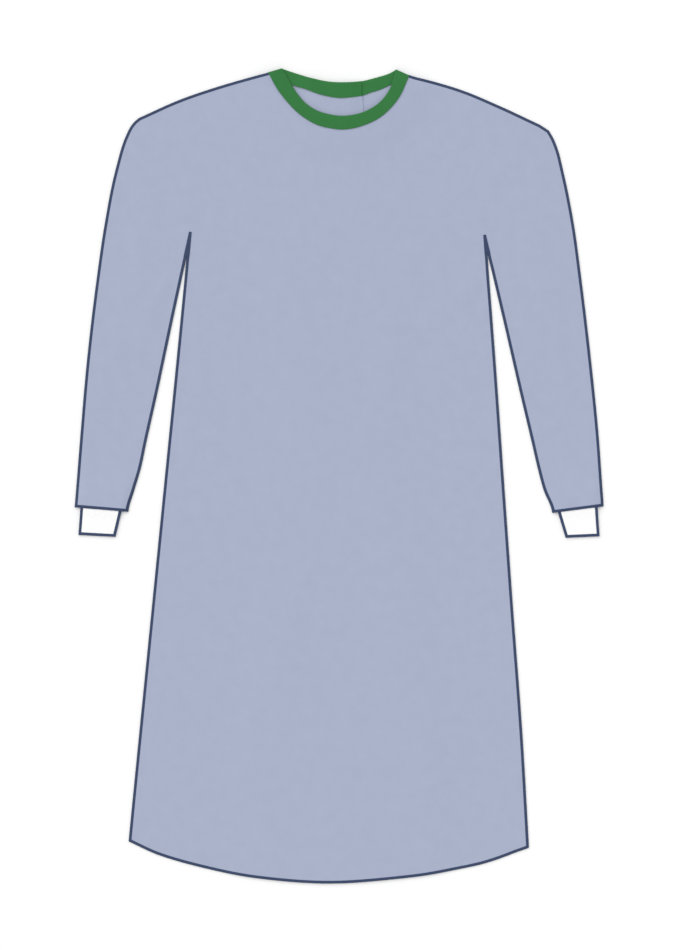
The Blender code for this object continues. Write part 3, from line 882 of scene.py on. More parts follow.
@dataclass
class NeckBinding:
    """Green tape folded over the neck's edge: an upper leaf, a round fold and a lower leaf."""

    node: str
    corners: tuple[tuple[float, float], ...]
    rests_on: tuple[str, ...]
    stations: int = 90
    pressed_at: float | None = None
    leaf: float = 0.5 * MM
    fold_depth: float = 2.0 * MM
    past_seam: float = 2.1 * MM
    wider_aside: float = 0.0

    def build(self, finish: bpy.types.Material, thread: bpy.types.Material) -> list[bpy.types.Object]:
        """Sweep the folded tape from end to end and set its row of stitches.

        Args:
            finish: the tape's material.
            thread: the stitches' material.

        Returns:
            The tape and its two rows of stitches.
        """
        over, under = SolidForm(self.node), SolidForm(self.node, Skin.UNDER)
        sewn, _, fold, _ = over.sides(self.corners)
        share = np.linspace(0.0, 1.0, self.stations + 1)
        fold_line, sewn_line = (settled(at_shares(rounded(line), share), 12) for line in (fold, sewn))
        step = sewn_line - fold_line
        reach = np.linalg.norm(step, axis=1)
        run = step / reach[:, None]
        aside = np.abs(fold_line[:, 0] - 2 * MM)
        wider = fade(aside, 3 * MM, 28 * MM) * (1 - fade(aside, 62 * MM, 100 * MM))
        width = reach + self.past_seam + self.wider_aside * wider
        probe = fold_line[:, None] + run[:, None] * np.linspace(0.25, 0.8, 4)[None, :, None] * reach[:, None, None]
        top = settled(over.heights(probe).mean(axis=1), 12) - 0.1 * MM
        bottom = settled(under.heights(probe).mean(axis=1), 12) + 0.1 * MM
        if self.pressed_at is not None:
            pressed = 1 - fade(np.abs(fold_line[:, 0] - self.pressed_at), 2 * MM, 24 * MM)
            top -= 1.9 * MM * pressed
            bottom -= 0.35 * MM * pressed
        middle, half = (top + bottom) / 2, (top - bottom) / 2
        places = np.array((1.0, 0.97, 0.8, 0.6, 0.4, 0.22))
        bend = np.array((1.0, 0.62, 0.34, 0.14, 0.03))
        folding = np.outer(np.ones_like(width), bend * self.fold_depth)
        upper_u = np.concatenate((places[None] * width[:, None], folding), axis=1)
        rise = np.concatenate((np.ones(len(places)), np.sqrt(1 - (1 - bend) ** 2)))
        lift = np.concatenate((rise, -rise[::-1]))
        outer_u = np.concatenate((upper_u, upper_u[:, ::-1]), axis=1) + 0.15 * MM
        leaf_edge = 1.0 - 0.08 * (outer_u / width[:, None] > 0.99)
        outer_z = middle[:, None] + lift * half[:, None] * leaf_edge
        inner_u = np.maximum(outer_u, self.leaf + 0.15 * MM + 0.3 * outer_u * (outer_u < self.fold_depth))
        inner_z = middle[:, None] + lift * (half - self.leaf)[:, None]
        wave = 0.06 * MM * waver(share * width.mean() * 14, 0.017, 1.9)[:, None]
        outer_z = outer_z + wave * (np.abs(lift) > 0.9)
        inner_z = inner_z + wave * (np.abs(lift) > 0.9)

        def placed(distance: np.ndarray, height: np.ndarray) -> np.ndarray:
            """Set section points out from the fold, one ring for each station."""
            flat = fold_line[:, None] + run[:, None] * distance[..., None]
            return np.dstack((flat, height))

        rings = np.concatenate((placed(outer_u, outer_z), placed(inner_u, inner_z)[:, ::-1]), axis=1)
        length = along((fold_line + sewn_line) / 2)
        across = np.concatenate((outer_u, outer_u[:, ::-1]), axis=1)
        chart = np.dstack((np.broadcast_to(length[:, None], across.shape), across))
        piece = swept_piece(f"tape_{self.node}", rings, chart)
        piece.data.materials.append(finish)
        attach(piece, "root")
        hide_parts(self.node)
        rows = []
        for skin, height in ((Skin.TOP, top), (Skin.UNDER, bottom)):
            seam = fold_line + run * (width - 2.2 * MM)[:, None]
            row = StitchRow(
                f"stitches_{self.node}_{skin.name.lower()}", np.column_stack((seam, height)), skin.value
            )
            rows.append(row.build(thread, "binding_tape"))
        cut_width = float(2 * width.mean() + np.pi * half.mean())
        list(self.rests_on)
        LOG.info("%s: cut %.0f x %.0f mm", piece.name, cut_width / MM, length[-1] / MM)
        return [piece, *rows]


@dataclass
class StitchRow:
    """A row of lockstitches: short rounded bars of thread lying on the cloth."""

    name: str
    line: np.ndarray
    up: float
    pitch: float = 3.0 * MM
    length: float = 2.35 * MM
    radius: float = 0.16 * MM

    def build(self, finish: bpy.types.Material, slot: str) -> bpy.types.Object:
        """Make every bar as five rings of six points, thin at both ends.

        Args:
            finish: the thread's material.
            slot: a material slot's name, not used.

        Returns:
            The row's object.
        """
        places = along(self.line)
        count = int(places[-1] / self.pitch)
        centre = (np.arange(count) + 0.5) * places[-1] / count
        t = np.array((-0.5, -0.36, 0.0, 0.36, 0.5))
        size = np.array((0.35, 0.9, 1.0, 0.9, 0.35))
        reach = centre[:, None] + t[None] * self.length
        axis = np.stack([np.interp(reach, places, self.line[:, k]) for k in range(3)], axis=-1)
        run = axis[:, -1] - axis[:, 0]
        side = np.column_stack((-run[:, 1], run[:, 0], np.zeros(count)))
        side /= np.linalg.norm(side, axis=1)[:, None]
        angle = np.arange(6) * np.pi / 3
        across = self.radius * size[:, None] * np.cos(angle)
        height = self.radius * size[:, None] * np.sin(angle) * 0.8 + 0.25 * self.radius * self.up
        rings = axis[:, :, None] + across[None, :, :, None] * side[:, None, None]
        rings[..., 2] += height[None]
        index = np.arange(30).reshape(5, 6)
        after = np.roll(index, -1, axis=1)
        faces = np.stack((index[:-1], after[:-1], after[1:], index[1:]), axis=-1).reshape(-1, 4)
        caps = np.array([[0, 1, 4, 5], [1, 2, 3, 4]])
        faces = np.vstack((faces, caps[:, ::-1], caps + 24))
        corners = rings[0].reshape(-1, 3)[faces]
        a, b, c, d = (corners[:, k] for k in range(4))
        if (np.cross(b - a, c - a) * a).sum() + (np.cross(c - a, d - a) * a).sum() < 0:
            faces = faces[:, ::-1]
        whole = (faces[None] + 30 * np.arange(count)[:, None, None]).reshape(-1, 4)
        points = rings.reshape(-1, 3)
        piece = new_piece(self.name, points, whole, points[:, :2])
        piece.data.materials.append(finish)
        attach(piece, "root")
        return piece


@dataclass
class RibCuff:
    """One face of a rib-knit cuff: rounded ribs on its outside, a plain inside."""

    node: str
    outside: Skin
    rests_on: tuple[str, ...]
    ribs: int = 26
    rows: int = 32
    columns_per_rib: int = 7
    rib_height: float = 0.42 * MM
    piece: bpy.types.Object = field(default=None, init=False)
    sides: list[np.ndarray] = field(default_factory=list, init=False)
    skins: dict[Skin, PlanSkin] = field(default_factory=dict, init=False)

    def build(self, finish: bpy.types.Material) -> None:
        """Make the ribbed wall, narrowing as the cuff narrows, and finish it.

        Args:
            finish: the knit's material.
        """
        outer = SolidForm(self.node, self.outside)
        inner = SolidForm(self.node, Skin.UNDER if self.outside is Skin.TOP else Skin.TOP)
        self.sides = [rounded(side) for side in inner.sides(BODY_CORNERS)]
        columns = self.ribs * self.columns_per_rib
        grid = blended_grid(self.sides, self.rows, columns, 0.0)
        coarse = grid[:, ::4]
        up = self.outside.value
        crest = up * (up * outer.heights(coarse)).max(axis=1)[:, None]
        plain = inner.heights(coarse).mean(axis=1)[:, None]
        share = np.linspace(0.0, 1.0, columns + 1)[None]
        height = np.linspace(0.0, 1.0, self.rows + 1)[:, None]
        rib = np.abs(np.sin(np.pi * self.ribs * share)) ** 0.7
        knit = 1 + 0.12 * waver(height * 60 * MM + 0.11 * np.floor(share * self.ribs), 0.012, 1.0)
        edge = distance_to(grid, rim_of(grid))
        tucked = 0.3 * MM * (1 - fade(edge, 4.4 * MM, 5.6 * MM))
        outside = crest - up * (self.rib_height * (1 - rib * knit) * fade(edge, 3.6 * MM, 5.5 * MM) + tucked)
        inside = plain + up * (0.08 * MM + 0.25 * MM * (1 - fade(edge, 4.4 * MM, 5.6 * MM)))
        over, under = (outside, inside) if up > 0 else (inside, outside)
        over, under = (np.broadcast_to(values, grid.shape[:2]) for values in (over, under))
        centre = grid.reshape(-1, 2).mean(axis=0)
        grid = centre + (grid - centre) * 0.98
        upper, lower = np.dstack((grid, over)), np.dstack((grid, under))
        self.skins = {Skin.TOP: PlanSkin.of_grid(upper), Skin.UNDER: PlanSkin.of_grid(lower)}
        self.piece = shell_piece(f"knit_{self.node}", lower, upper, grid)
        self.piece.data.materials.append(finish)
        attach(self.piece, "root")
        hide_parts(self.node)

    def declare(self, edges: list[bpy.types.Object]) -> None:
        """Log how many ribs the face has and how large it was cut.

        Args:
            edges: the thread edges on it, not used.
        """
        bottom, end, top, start = self.sides
        width = float(along(bottom)[-1] + along(top)[-1]) / 2
        length = float(along(start)[-1] + along(end)[-1]) / 2
        list(self.rests_on)
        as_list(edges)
        LOG.info("%s: %d ribs, cut %.0f x %.0f mm", self.piece.name, self.ribs, width / MM, length / MM)


@dataclass
class NeckTab:
    """The touch-fastener tab under the lapped backs: a rounded plate with a softened edge."""

    node: str = "neck_tab"
    cells: tuple[int, int] = (24, 60)

    def build(self, finish: bpy.types.Material) -> bpy.types.Object:
        """Make the plate a little inside its solid, thinner towards its rim.

        Args:
            finish: the tab's material.

        Returns:
            The tab's object.
        """
        over, under = SolidForm(self.node), SolidForm(self.node, Skin.UNDER)
        grid = eased(blended_grid(over.sides(BODY_CORNERS), *self.cells, 0.0), 30)
        edge = distance_to(grid, rim_of(grid))
        soft = 0.2 * MM * (1 - fade(edge, 0.0, 1.2 * MM))
        top = over.heights(grid) - 0.1 * MM - soft
        bottom = under.heights(grid) + 0.05 * MM + soft
        piece = shell_piece("tab_neck", np.dstack((grid, bottom)), np.dstack((grid, top)), grid)
        piece.data.materials.append(finish)
        size = np.ptp(grid.reshape(-1, 2), axis=0)
        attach(piece, "root")
        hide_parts(self.node)
        LOG.info("%s: %.0f x %.0f mm", piece.name, *(size / MM))
        return piece


BODY_CORNERS = ((-1, -1), (1, -1), (1, 1), (-1, 1))
RIGHT_SLEEVE_CORNERS = ((-1, -1), (1, -1), (1, -0.1), (0.2, 1))
LEFT_SLEEVE_CORNERS = ((-1, -1), (1, -1), (-0.2, 1), (-1, -0.1))
FRONT_BINDING_CORNERS = ((-1, 0.2), (1, 0.2), (0.2, 1), (-0.1, 1))
RIGHT_BINDING_CORNERS = ((-1, 0.2), (1, -1), (1, 1), (-0.1, 1))
LEFT_BINDING_CORNERS = ((-1, -1), (1, 0.2), (0.2, 1), (-1, 1))
BACKS = ("back_panel_right", "back_panel_left")


class ShaderGraph:
    """Nodes of one material or node group, added and linked by name."""

    def __init__(self, tree: bpy.types.NodeTree) -> None:
        """Keep the tree that the nodes go into."""
        self.tree = tree

    def node(self, kind: str, **values: object) -> bpy.types.Node:
        """Add a node and set its inputs and settings.

        Args:
            kind: the node's type.
            values: a setting, or an input whose spaces are written as underscores, each with its value or a
                socket to link from.

        Returns:
            The node.
        """
        node = self.tree.nodes.new(kind)
        for key, value in values.items():
            if hasattr(node, key):
                setattr(node, key, value)
                continue
            target = node.inputs[int(key[1:])] if key[1:].isdigit() else node.inputs[key.replace("_", " ")]
            if isinstance(value, bpy.types.NodeSocket):
                self.tree.links.new(value, target)
            else:
                target.default_value = value
        return node

    def maths(self, operation: str, *values: object) -> bpy.types.NodeSocket:
        """Add a maths node on one to three values.

        Args:
            operation: what it does.
            values: numbers or sockets.

        Returns:
            Its result.
        """
        node = self.node("ShaderNodeMath", operation=operation)
        for slot, value in enumerate(values):
            if isinstance(value, bpy.types.NodeSocket):
                self.tree.links.new(value, node.inputs[slot])
            else:
                node.inputs[slot].default_value = value
        return node.outputs[0]


def new_group(
    name: str, inputs: dict[str, float], outputs: dict[str, str]
) -> tuple[ShaderGraph, bpy.types.Node, bpy.types.Node]:
    """Start a shader node group with a vector and named numbers coming in.

    Args:
        name: the group's name.
        inputs: the numbers' names and usual values.
        outputs: the results' names and socket types.

    Returns:
        The group's graph, its input node and its output node.
    """
    tree = bpy.data.node_groups.new(name, "ShaderNodeTree")
    tree.interface.new_socket("Vector", in_out="INPUT", socket_type="NodeSocketVector")
    for label, value in inputs.items():
        tree.interface.new_socket(label, in_out="INPUT", socket_type="NodeSocketFloat").default_value = value
    for label, kind in outputs.items():
        tree.interface.new_socket(label, in_out="OUTPUT", socket_type=kind)
    graph = ShaderGraph(tree)
    return graph, graph.node("NodeGroupInput"), graph.node("NodeGroupOutput")


def fibre_mottle_group() -> bpy.types.NodeTree:
    """Make the group for laid fibres: cloudy density and long fine streaks.

    Returns:
        A group with Density and Fibres, both from 0 to 1.
    """
    graph, source, result = new_group(
        "fibre_mottle",
        {"Cloud size": 0.02, "Fibre size": 0.0009},
        {"Density": "NodeSocketFloat", "Fibres": "NodeSocketFloat"},
    )
    vector = source.outputs["Vector"]
    cloud_scale = graph.maths("DIVIDE", 1.0, source.outputs["Cloud size"])
    cloud = graph.node("ShaderNodeTexNoise", Vector=vector, Scale=cloud_scale, Detail=4.0, Roughness=0.6)
    fibre_scale = graph.maths("DIVIDE", 1.0, source.outputs["Fibre size"])
    fibres = graph.node(
        "ShaderNodeTexNoise", Vector=vector, Scale=fibre_scale, Detail=2.0, Roughness=0.5, Distortion=1.4
    )
    graph.tree.links.new(cloud.outputs["Fac"], result.inputs["Density"])
    graph.tree.links.new(fibres.outputs["Fac"], result.inputs["Fibres"])
    return graph.tree


def point_bond_group() -> bpy.types.NodeTree:
    """Make the group for heat bonds: small dimples in staggered rows, as a product of two slanting waves.

    Returns:
        A group with Dimple, 1 in a bond and 0 between.
    """
    graph, source, result = new_group("point_bond", {"Pitch": 0.002}, {"Dimple": "NodeSocketFloat"})
    split = graph.node("ShaderNodeSeparateXYZ", Vector=source.outputs["Vector"])
    turn = graph.maths("DIVIDE", 2 * np.pi, source.outputs["Pitch"])
    across = graph.maths("COSINE", graph.maths("MULTIPLY", split.outputs["X"], turn))
    upward = graph.maths("COSINE", graph.maths("MULTIPLY", split.outputs["Y"], turn))
    both = graph.maths("MULTIPLY", graph.maths("ADD", across, upward), 0.5)
    dimple = graph.node("ShaderNodeMapRange", interpolation_type="SMOOTHSTEP", Value=both)
    dimple.inputs["From Min"].default_value = 0.35
    dimple.inputs["From Max"].default_value = 0.8
    graph.tree.links.new(dimple.outputs[0], result.inputs["Dimple"])
    return graph.tree


def woven_group() -> bpy.types.NodeTree:
    """Make the group for crossing threads: two squared waves at right angles, the higher one showing.

    Returns:
        A group with Height and Thread, both from 0 to 1.
    """
    graph, source, result = new_group(
        "crossing_threads",
        {"Pitch": 0.0007, "Slant": 0.0},
        {"Height": "NodeSocketFloat", "Thread": "NodeSocketFloat"},
    )
    split = graph.node("ShaderNodeSeparateXYZ", Vector=source.outputs["Vector"])
    turn = graph.maths("DIVIDE", np.pi, source.outputs["Pitch"])
    slanted = graph.maths(
        "ADD", split.outputs["X"], graph.maths("MULTIPLY", split.outputs["Y"], source.outputs["Slant"])
    )
    warp = graph.maths("ABSOLUTE", graph.maths("SINE", graph.maths("MULTIPLY", slanted, turn)))
    weft = graph.maths("ABSOLUTE", graph.maths("SINE", graph.maths("MULTIPLY", split.outputs["Y"], turn)))
    graph.tree.links.new(graph.maths("MAXIMUM", warp, weft), result.inputs["Height"])
    graph.tree.links.new(warp, result.inputs["Thread"])
    return graph.tree


class MaterialMaker:
    """A material under way: its surface shader, its coordinates and the shared effects placed in it."""

    def __init__(self, name: str) -> None:
        """Start the material.

        Args:
            name: the material's name.
        """
        self.material = bpy.data.materials.new(name)
        self.material.use_nodes = True
        self.graph = ShaderGraph(self.material.node_tree)
        self.shader = self.material.node_tree.nodes["Principled BSDF"]
        self.place = self.graph.node("ShaderNodeTexCoord").outputs["Object"]

    def maths(self, operation: str, *values: object) -> bpy.types.NodeSocket:
        """Add a maths node, as the graph does."""
        return self.graph.maths(operation, *values)

    def effect(self, name: str, on_chart: bool = False, **values: float) -> bpy.types.NodeOutputs:
        """Place a shared effect on the piece's Object coordinates or on its own UV chart.

        Args:
            name: the node group's name.
            on_chart: whether it follows the UV chart.
            values: the group's numbers.

        Returns:
            The group's outputs.
        """
        vector = self.graph.node("ShaderNodeUVMap", uv_map="cloth").outputs["UV"] if on_chart else self.place
        tree = bpy.data.node_groups[name]
        return self.graph.node("ShaderNodeGroup", node_tree=tree, Vector=vector, **values).outputs

    def mixed(
        self,
        share: bpy.types.NodeSocket,
        colour: tuple[float, float, float],
        dark: float,
        light: float,
        lift: float = 0.0,
    ) -> bpy.types.NodeSocket:
        """Mix a darker and a lighter tone of one colour.

        Args:
            share: 0 for the darker tone, 1 for the lighter one.
            colour: the colour.
            dark: what the darker tone multiplies it by.
            light: what the lighter tone multiplies it by.
            lift: what is added to the lighter tone.

        Returns:
            The mixed colour.
        """
        low = tuple(value * dark for value in colour) + (1.0,)
        high = tuple(min(value * light + lift, 1.0) for value in colour) + (1.0,)
        return self.graph.node("ShaderNodeMix", data_type="RGBA", _0=share, _6=low, _7=high).outputs[2]

    def finished(
        self,
        colour: bpy.types.NodeSocket,
        rough: bpy.types.NodeSocket,
        height: bpy.types.NodeSocket,
        bump: tuple[float, float],
        specular: float,
        sheen: float,
    ) -> bpy.types.Material:
        """Link the results to the surface shader.

        Args:
            colour: the base colour.
            rough: the roughness.
            height: the height that the bump reads.
            bump: the bump's strength and distance.
            specular: the specular level.
            sheen: the sheen's weight.

        Returns:
            The material.
        """
        relief = self.graph.node("ShaderNodeBump", Height=height, Strength=bump[0], Distance=bump[1])
        for result, name in ((colour, "Base Color"), (rough, "Roughness"), (relief.outputs["Normal"], "Normal")):
            self.graph.tree.links.new(result, self.shader.inputs[name])
        self.shader.inputs["Specular IOR Level"].default_value = specular
        self.shader.inputs["Sheen Weight"].default_value = sheen
        return self.material


@dataclass(frozen=True)
class NonwovenFinish:
    """Ceil-blue layered nonwoven: matt, faintly cloudy, dimpled by heat bonds."""

    colour: tuple[float, float, float] = (0.370, 0.412, 0.548)
    cloud: float = 0.05
    bond_pitch: float = 0.0022

    def build(self) -> bpy.types.Material:
        """Make the material.

        Returns:
            The cloth's material.
        """
        maker = MaterialMaker("nonwoven_blue")
        mottle = maker.effect("fibre_mottle")
        dimple = maker.effect("point_bond", Pitch=self.bond_pitch)["Dimple"]
        cloudy = maker.mixed(mottle["Density"], self.colour, 1 - self.cloud, 1 + self.cloud)
        dark = tuple(value * (1 - self.cloud) for value in self.colour) + (1.0,)
        pressed = maker.maths("MULTIPLY", dimple, 0.1)
        tone = maker.graph.node("ShaderNodeMix", data_type="RGBA", _0=pressed, _6=cloudy, _7=dark).outputs[2]
        fibres, bonds = maker.maths("MULTIPLY", mottle["Fibres"], 0.35), maker.maths("MULTIPLY", dimple, 0.6)
        rough = maker.maths("SUBTRACT", 0.86, maker.maths("MULTIPLY", dimple, 0.12))
        return maker.finished(tone, rough, maker.maths("SUBTRACT", fibres, bonds), (0.25, 0.0001), 0.25, 0.06)


@dataclass(frozen=True)
class ThreadFinish:
    """Spun sewing thread, wound in slanting stitches."""

    name: str
    colour: tuple[float, float, float]
    pitch: float = 0.0013

    def build(self) -> bpy.types.Material:
        """Make the material.

        Returns:
            The thread's material.
        """
        maker = MaterialMaker(self.name)
        thread = maker.effect("crossing_threads", True, Pitch=self.pitch, Slant=0.55)["Thread"]
        mottle = maker.effect("fibre_mottle")
        # Painted shade and highlight: the colour is darkest in the grooves between the threads and lightest, with a
        # little white added, on their crowns.
        tone = maker.mixed(thread, self.colour, 0.72, 1.3, 0.004)
        height = maker.maths("ADD", thread, maker.maths("MULTIPLY", mottle["Fibres"], 0.3))
        rough = maker.maths("ADD", 0.62, maker.maths("MULTIPLY", mottle["Density"], 0.2))
        return maker.finished(tone, rough, height, (0.5, 0.0002), 0.3, 0.1)


@dataclass(frozen=True)
class TapeFinish:
    """Green woven tape: a fine twill with painted shade between its threads, and a little uneven in tone."""

    colour: tuple[float, float, float] = (0.0220, 0.155, 0.0359)
    pitch: float = 0.0009

    def build(self) -> bpy.types.Material:
        """Make the material.

        Returns:
            The tape's material.
        """
        maker = MaterialMaker("tape_green")
        height = maker.effect("crossing_threads", True, Pitch=self.pitch, Slant=1.0)["Height"]
        mottle = maker.effect("fibre_mottle")
        cloud = maker.maths("MULTIPLY", mottle["Density"], 0.4)
        # Partly painted shade and highlight: the twill's low threads are darker and its raised threads lighter; the
        # cloud is the tape's own random unevenness.
        tone = maker.mixed(maker.maths("ADD", maker.maths("MULTIPLY", height, 0.6), cloud), self.colour, 0.8, 1.22)
        rough = maker.maths("ADD", 0.68, maker.maths("MULTIPLY", mottle["Fibres"], 0.15))
        return maker.finished(tone, rough, height, (0.4, 0.00015), 0.3, 0.08)


@dataclass(frozen=True)
class KnitFinish:
    """White rib knit: stitches stacked along each rib, a little fluff."""

    colour: tuple[float, float, float] = (0.95, 0.955, 0.95)
    stitch: float = 0.0011

    def build(self) -> bpy.types.Material:
        """Make the material.

        Returns:
            The knit's material.
        """
        maker = MaterialMaker("rib_knit_white")
        stitch = maker.effect("crossing_threads", True, Pitch=self.stitch)["Height"]
        fibres = maker.effect("fibre_mottle")["Fibres"]
        # Painted shade: the knit is darker in the hollows between its stitches.
        tone = maker.mixed(stitch, self.colour, 0.93, 1.0)
        height = maker.maths("ADD", stitch, maker.maths("MULTIPLY", fibres, 0.5))
        rough = maker.maths("ADD", 0.78, maker.maths("MULTIPLY", fibres, 0.1))
        return maker.finished(tone, rough, height, (0.35, 0.00015), 0.2, 0.1)


@dataclass(frozen=True)
class TabFinish:
    """White touch-fastener tab: dense short hooks in rows."""

    colour: tuple[float, float, float] = (0.78, 0.78, 0.77)
    pitch: float = 0.0012

    def build(self) -> bpy.types.Material:
        """Make the material.

        Returns:
            The tab's material.
        """
        maker = MaterialMaker("fastener_white")
        hooks = maker.effect("point_bond", Pitch=self.pitch)["Dimple"]
        density = maker.effect("fibre_mottle")["Density"]
        rough = maker.maths("ADD", 0.5, maker.maths("MULTIPLY", density, 0.2))
        # Painted shade: the tab is darker in the low ground between its raised hooks.
        return maker.finished(maker.mixed(hooks, self.colour, 0.8, 1.0), rough, hooks, (0.6, 0.0003), 0.5, 0.0)


@dataclass(frozen=True)
class FloorFinish:
    """Plain white surface, very slightly uneven in its gloss."""

    colour: tuple[float, float, float] = (0.95, 0.95, 0.95)

    def build(self) -> bpy.types.Material:
        """Make the material.

        Returns:
            The floor's material.
        """
        maker = MaterialMaker("floor_white")
        cloud = maker.graph.node("ShaderNodeTexNoise", Vector=maker.place, Scale=3.0, Detail=3.0)
        rough = maker.maths("ADD", 0.8, maker.maths("MULTIPLY", cloud.outputs["Fac"], 0.1))
        maker.graph.tree.links.new(rough, maker.shader.inputs["Roughness"])
        maker.shader.inputs["Base Color"].default_value = self.colour + (1.0,)
        maker.shader.inputs["Specular IOR Level"].default_value = 0.1
        return maker.material


@dataclass(frozen=True)
class Studio:
    """Plain floor, soft even light and a camera straight above."""

    lens: float = 85.0
    view_height: float = 1.52
    aim: tuple[float, float] = (0.0024, 0.0017)
    floor_size: float = 30.0

    def build(self) -> None:
        """Set the floor, the lights, the surroundings and the camera."""
        scene = bpy.context.scene
        scene.view_settings.view_transform = "Standard"
        scene.view_settings.look = "None"
        half = self.floor_size / 2
        mesh = bpy.data.meshes.new("floor")
        mesh.from_pydata([(-half, -half, 0), (half, -half, 0), (half, half, 0), (-half, half, 0)], [], [(0, 1, 2, 3)])
        floor = bpy.data.objects.new("floor", mesh)
        floor.data.materials.append(FloorFinish().build())
        scene.collection.objects.link(floor)
        world = bpy.data.worlds.new("studio")
        world.use_nodes = True
        world.node_tree.nodes["Background"].inputs["Color"].default_value = (1.0, 1.0, 1.0, 1.0)
        world.node_tree.nodes["Background"].inputs["Strength"].default_value = 0.72
        scene.world = world
        self._lamp("softbox", (-1.4, 1.6, 3.0), 75.0, 1.35)
        camera = bpy.data.cameras.new("camera")
        camera.lens = self.lens
        camera.sensor_fit = "VERTICAL"
        camera.sensor_height = 36.0
        camera.clip_end = 20.0
        watcher = bpy.data.objects.new("camera", camera)
        watcher.location = (self.aim[0], self.aim[1], self.view_height * self.lens / 36.0)
        scene.collection.objects.link(watcher)
        scene.camera = watcher

    def _lamp(self, name: str, place: tuple[float, float, float], spread: float, strength: float) -> None:
        """Hang one broad, even light that shines from its place towards the gown's middle.

        Args:
            name: the lamp's name.
            place: where it hangs, which gives its direction.
            spread: the angle in degrees over which it is spread.
            strength: its strength on a surface that faces it.
        """
        data = bpy.data.lights.new(name, "SUN")
        data.angle = np.radians(spread)
        data.energy = strength
        lamp = bpy.data.objects.new(name, data)
        lamp.location = place
        lamp.rotation_euler = (-Vector(place)).to_track_quat("-Z", "Y").to_euler()
        bpy.context.scene.collection.objects.link(lamp)


FRONT_CREASES = (
    Crease((-150, 470), (-40, 60), 1.3, 34, 12),
    Crease((140, 440), (60, 40), 1.2, 30, -10),
    Crease((-250, 330), (-120, 250), 1.1, 18, 6),
    Crease((244, 322), (130, 236), 1.1, 18, -5),
    Crease((-60, -120), (-150, -540), 1.2, 38, -14),
    Crease((70, -90), (150, -560), 1.3, 36, 12),
    Crease((10, 120), (-10, -470), 0.9, 46, 8, Form.TROUGH),
)
SLEEVE_CREASES_RIGHT = (
    Crease((-300, 470), (-372, 130), 1.2, 18, 6),
    Crease((-268, 330), (-322, 200), 0.9, 13, -4),
    Crease((-372, 90), (-396, -20), 0.9, 13, 3, Form.TROUGH),
)
SLEEVE_CREASES_LEFT = (
    Crease((296, 460), (368, 140), 1.2, 18, -6),
    Crease((262, 320), (318, 190), 0.9, 13, 4),
    Crease((368, 80), (392, -24), 0.9, 13, -3, Form.TROUGH),
)
BACK_CREASES = (
    Crease((-160, 420), (-120, -100), 0.3, 40, 10),
    Crease((180, 420), (150, -100), 0.3, 40, -10),
    Crease((-60, -80), (-140, -520), 0.3, 36, -10),
    Crease((60, -120), (170, -540), 0.3, 36, 10),
)


OVERARM_RIGHT = (
    (-421.2, -46.0), (-419.2, -22.0), (-412.8, 58.0), (-401.6, 186.0), (-386.4, 314.0), (-373.6, 402.0),
    (-356.0, 490.0), (-339.2, 544.4), (-332.8, 557.2), (-327.2, 564.6), (-320.0, 571.0),
)
OVERARM_LEFT = (
    (420.0, -44.0), (418.4, -22.0), (412.8, 58.0), (400.0, 186.0), (384.8, 314.0), (372.8, 402.0),
    (355.2, 490.0), (347.2, 521.6), (339.6, 540.4), (333.4, 551.2), (320.0, 560.0),
)
UNDERARM_RIGHT = (
    (-339.2, -51.4), (-330.4, -22.0), (-320.8, 10.0), (-310.4, 58.0), (-296.0, 122.0), (-268.8, 250.0),
    (-252.4, 326.0),
)
UNDERARM_LEFT = (
    (341.4, -53.0), (328.8, -22.0), (320.0, 10.0), (308.8, 58.0), (293.6, 122.0), (264.0, 250.0), (246.4, 325.0),
)
FLANK_RIGHT = (
    (-331.9, -550.0), (-320.8, -438.0), (-296.8, -198.0), (-276.0, 10.0), (-258.4, 186.0), (-244.8, 325.0),
)
FLANK_LEFT = ((298.4, -550.0), (292.0, -438.0), (274.4, -198.0), (259.6, 10.0), (247.2, 186.0), (236.6, 325.0))
NOTCH_RIGHT = (-244.3, 353.2)
NOTCH_LEFT = (236.3, 358.1)
UNDERARM_POINT_RIGHT = (-238.4, 390.8)
UNDERARM_POINT_LEFT = (232.0, 386.0)
SEAM_ALLOWANCE = 2.2 * MM
JOIN_GAP = 0.03 * MM
HEM_CORNER_DROP = 2.4 * MM
ROW_SHIFT = np.array((0.8, -0.3)) * MM


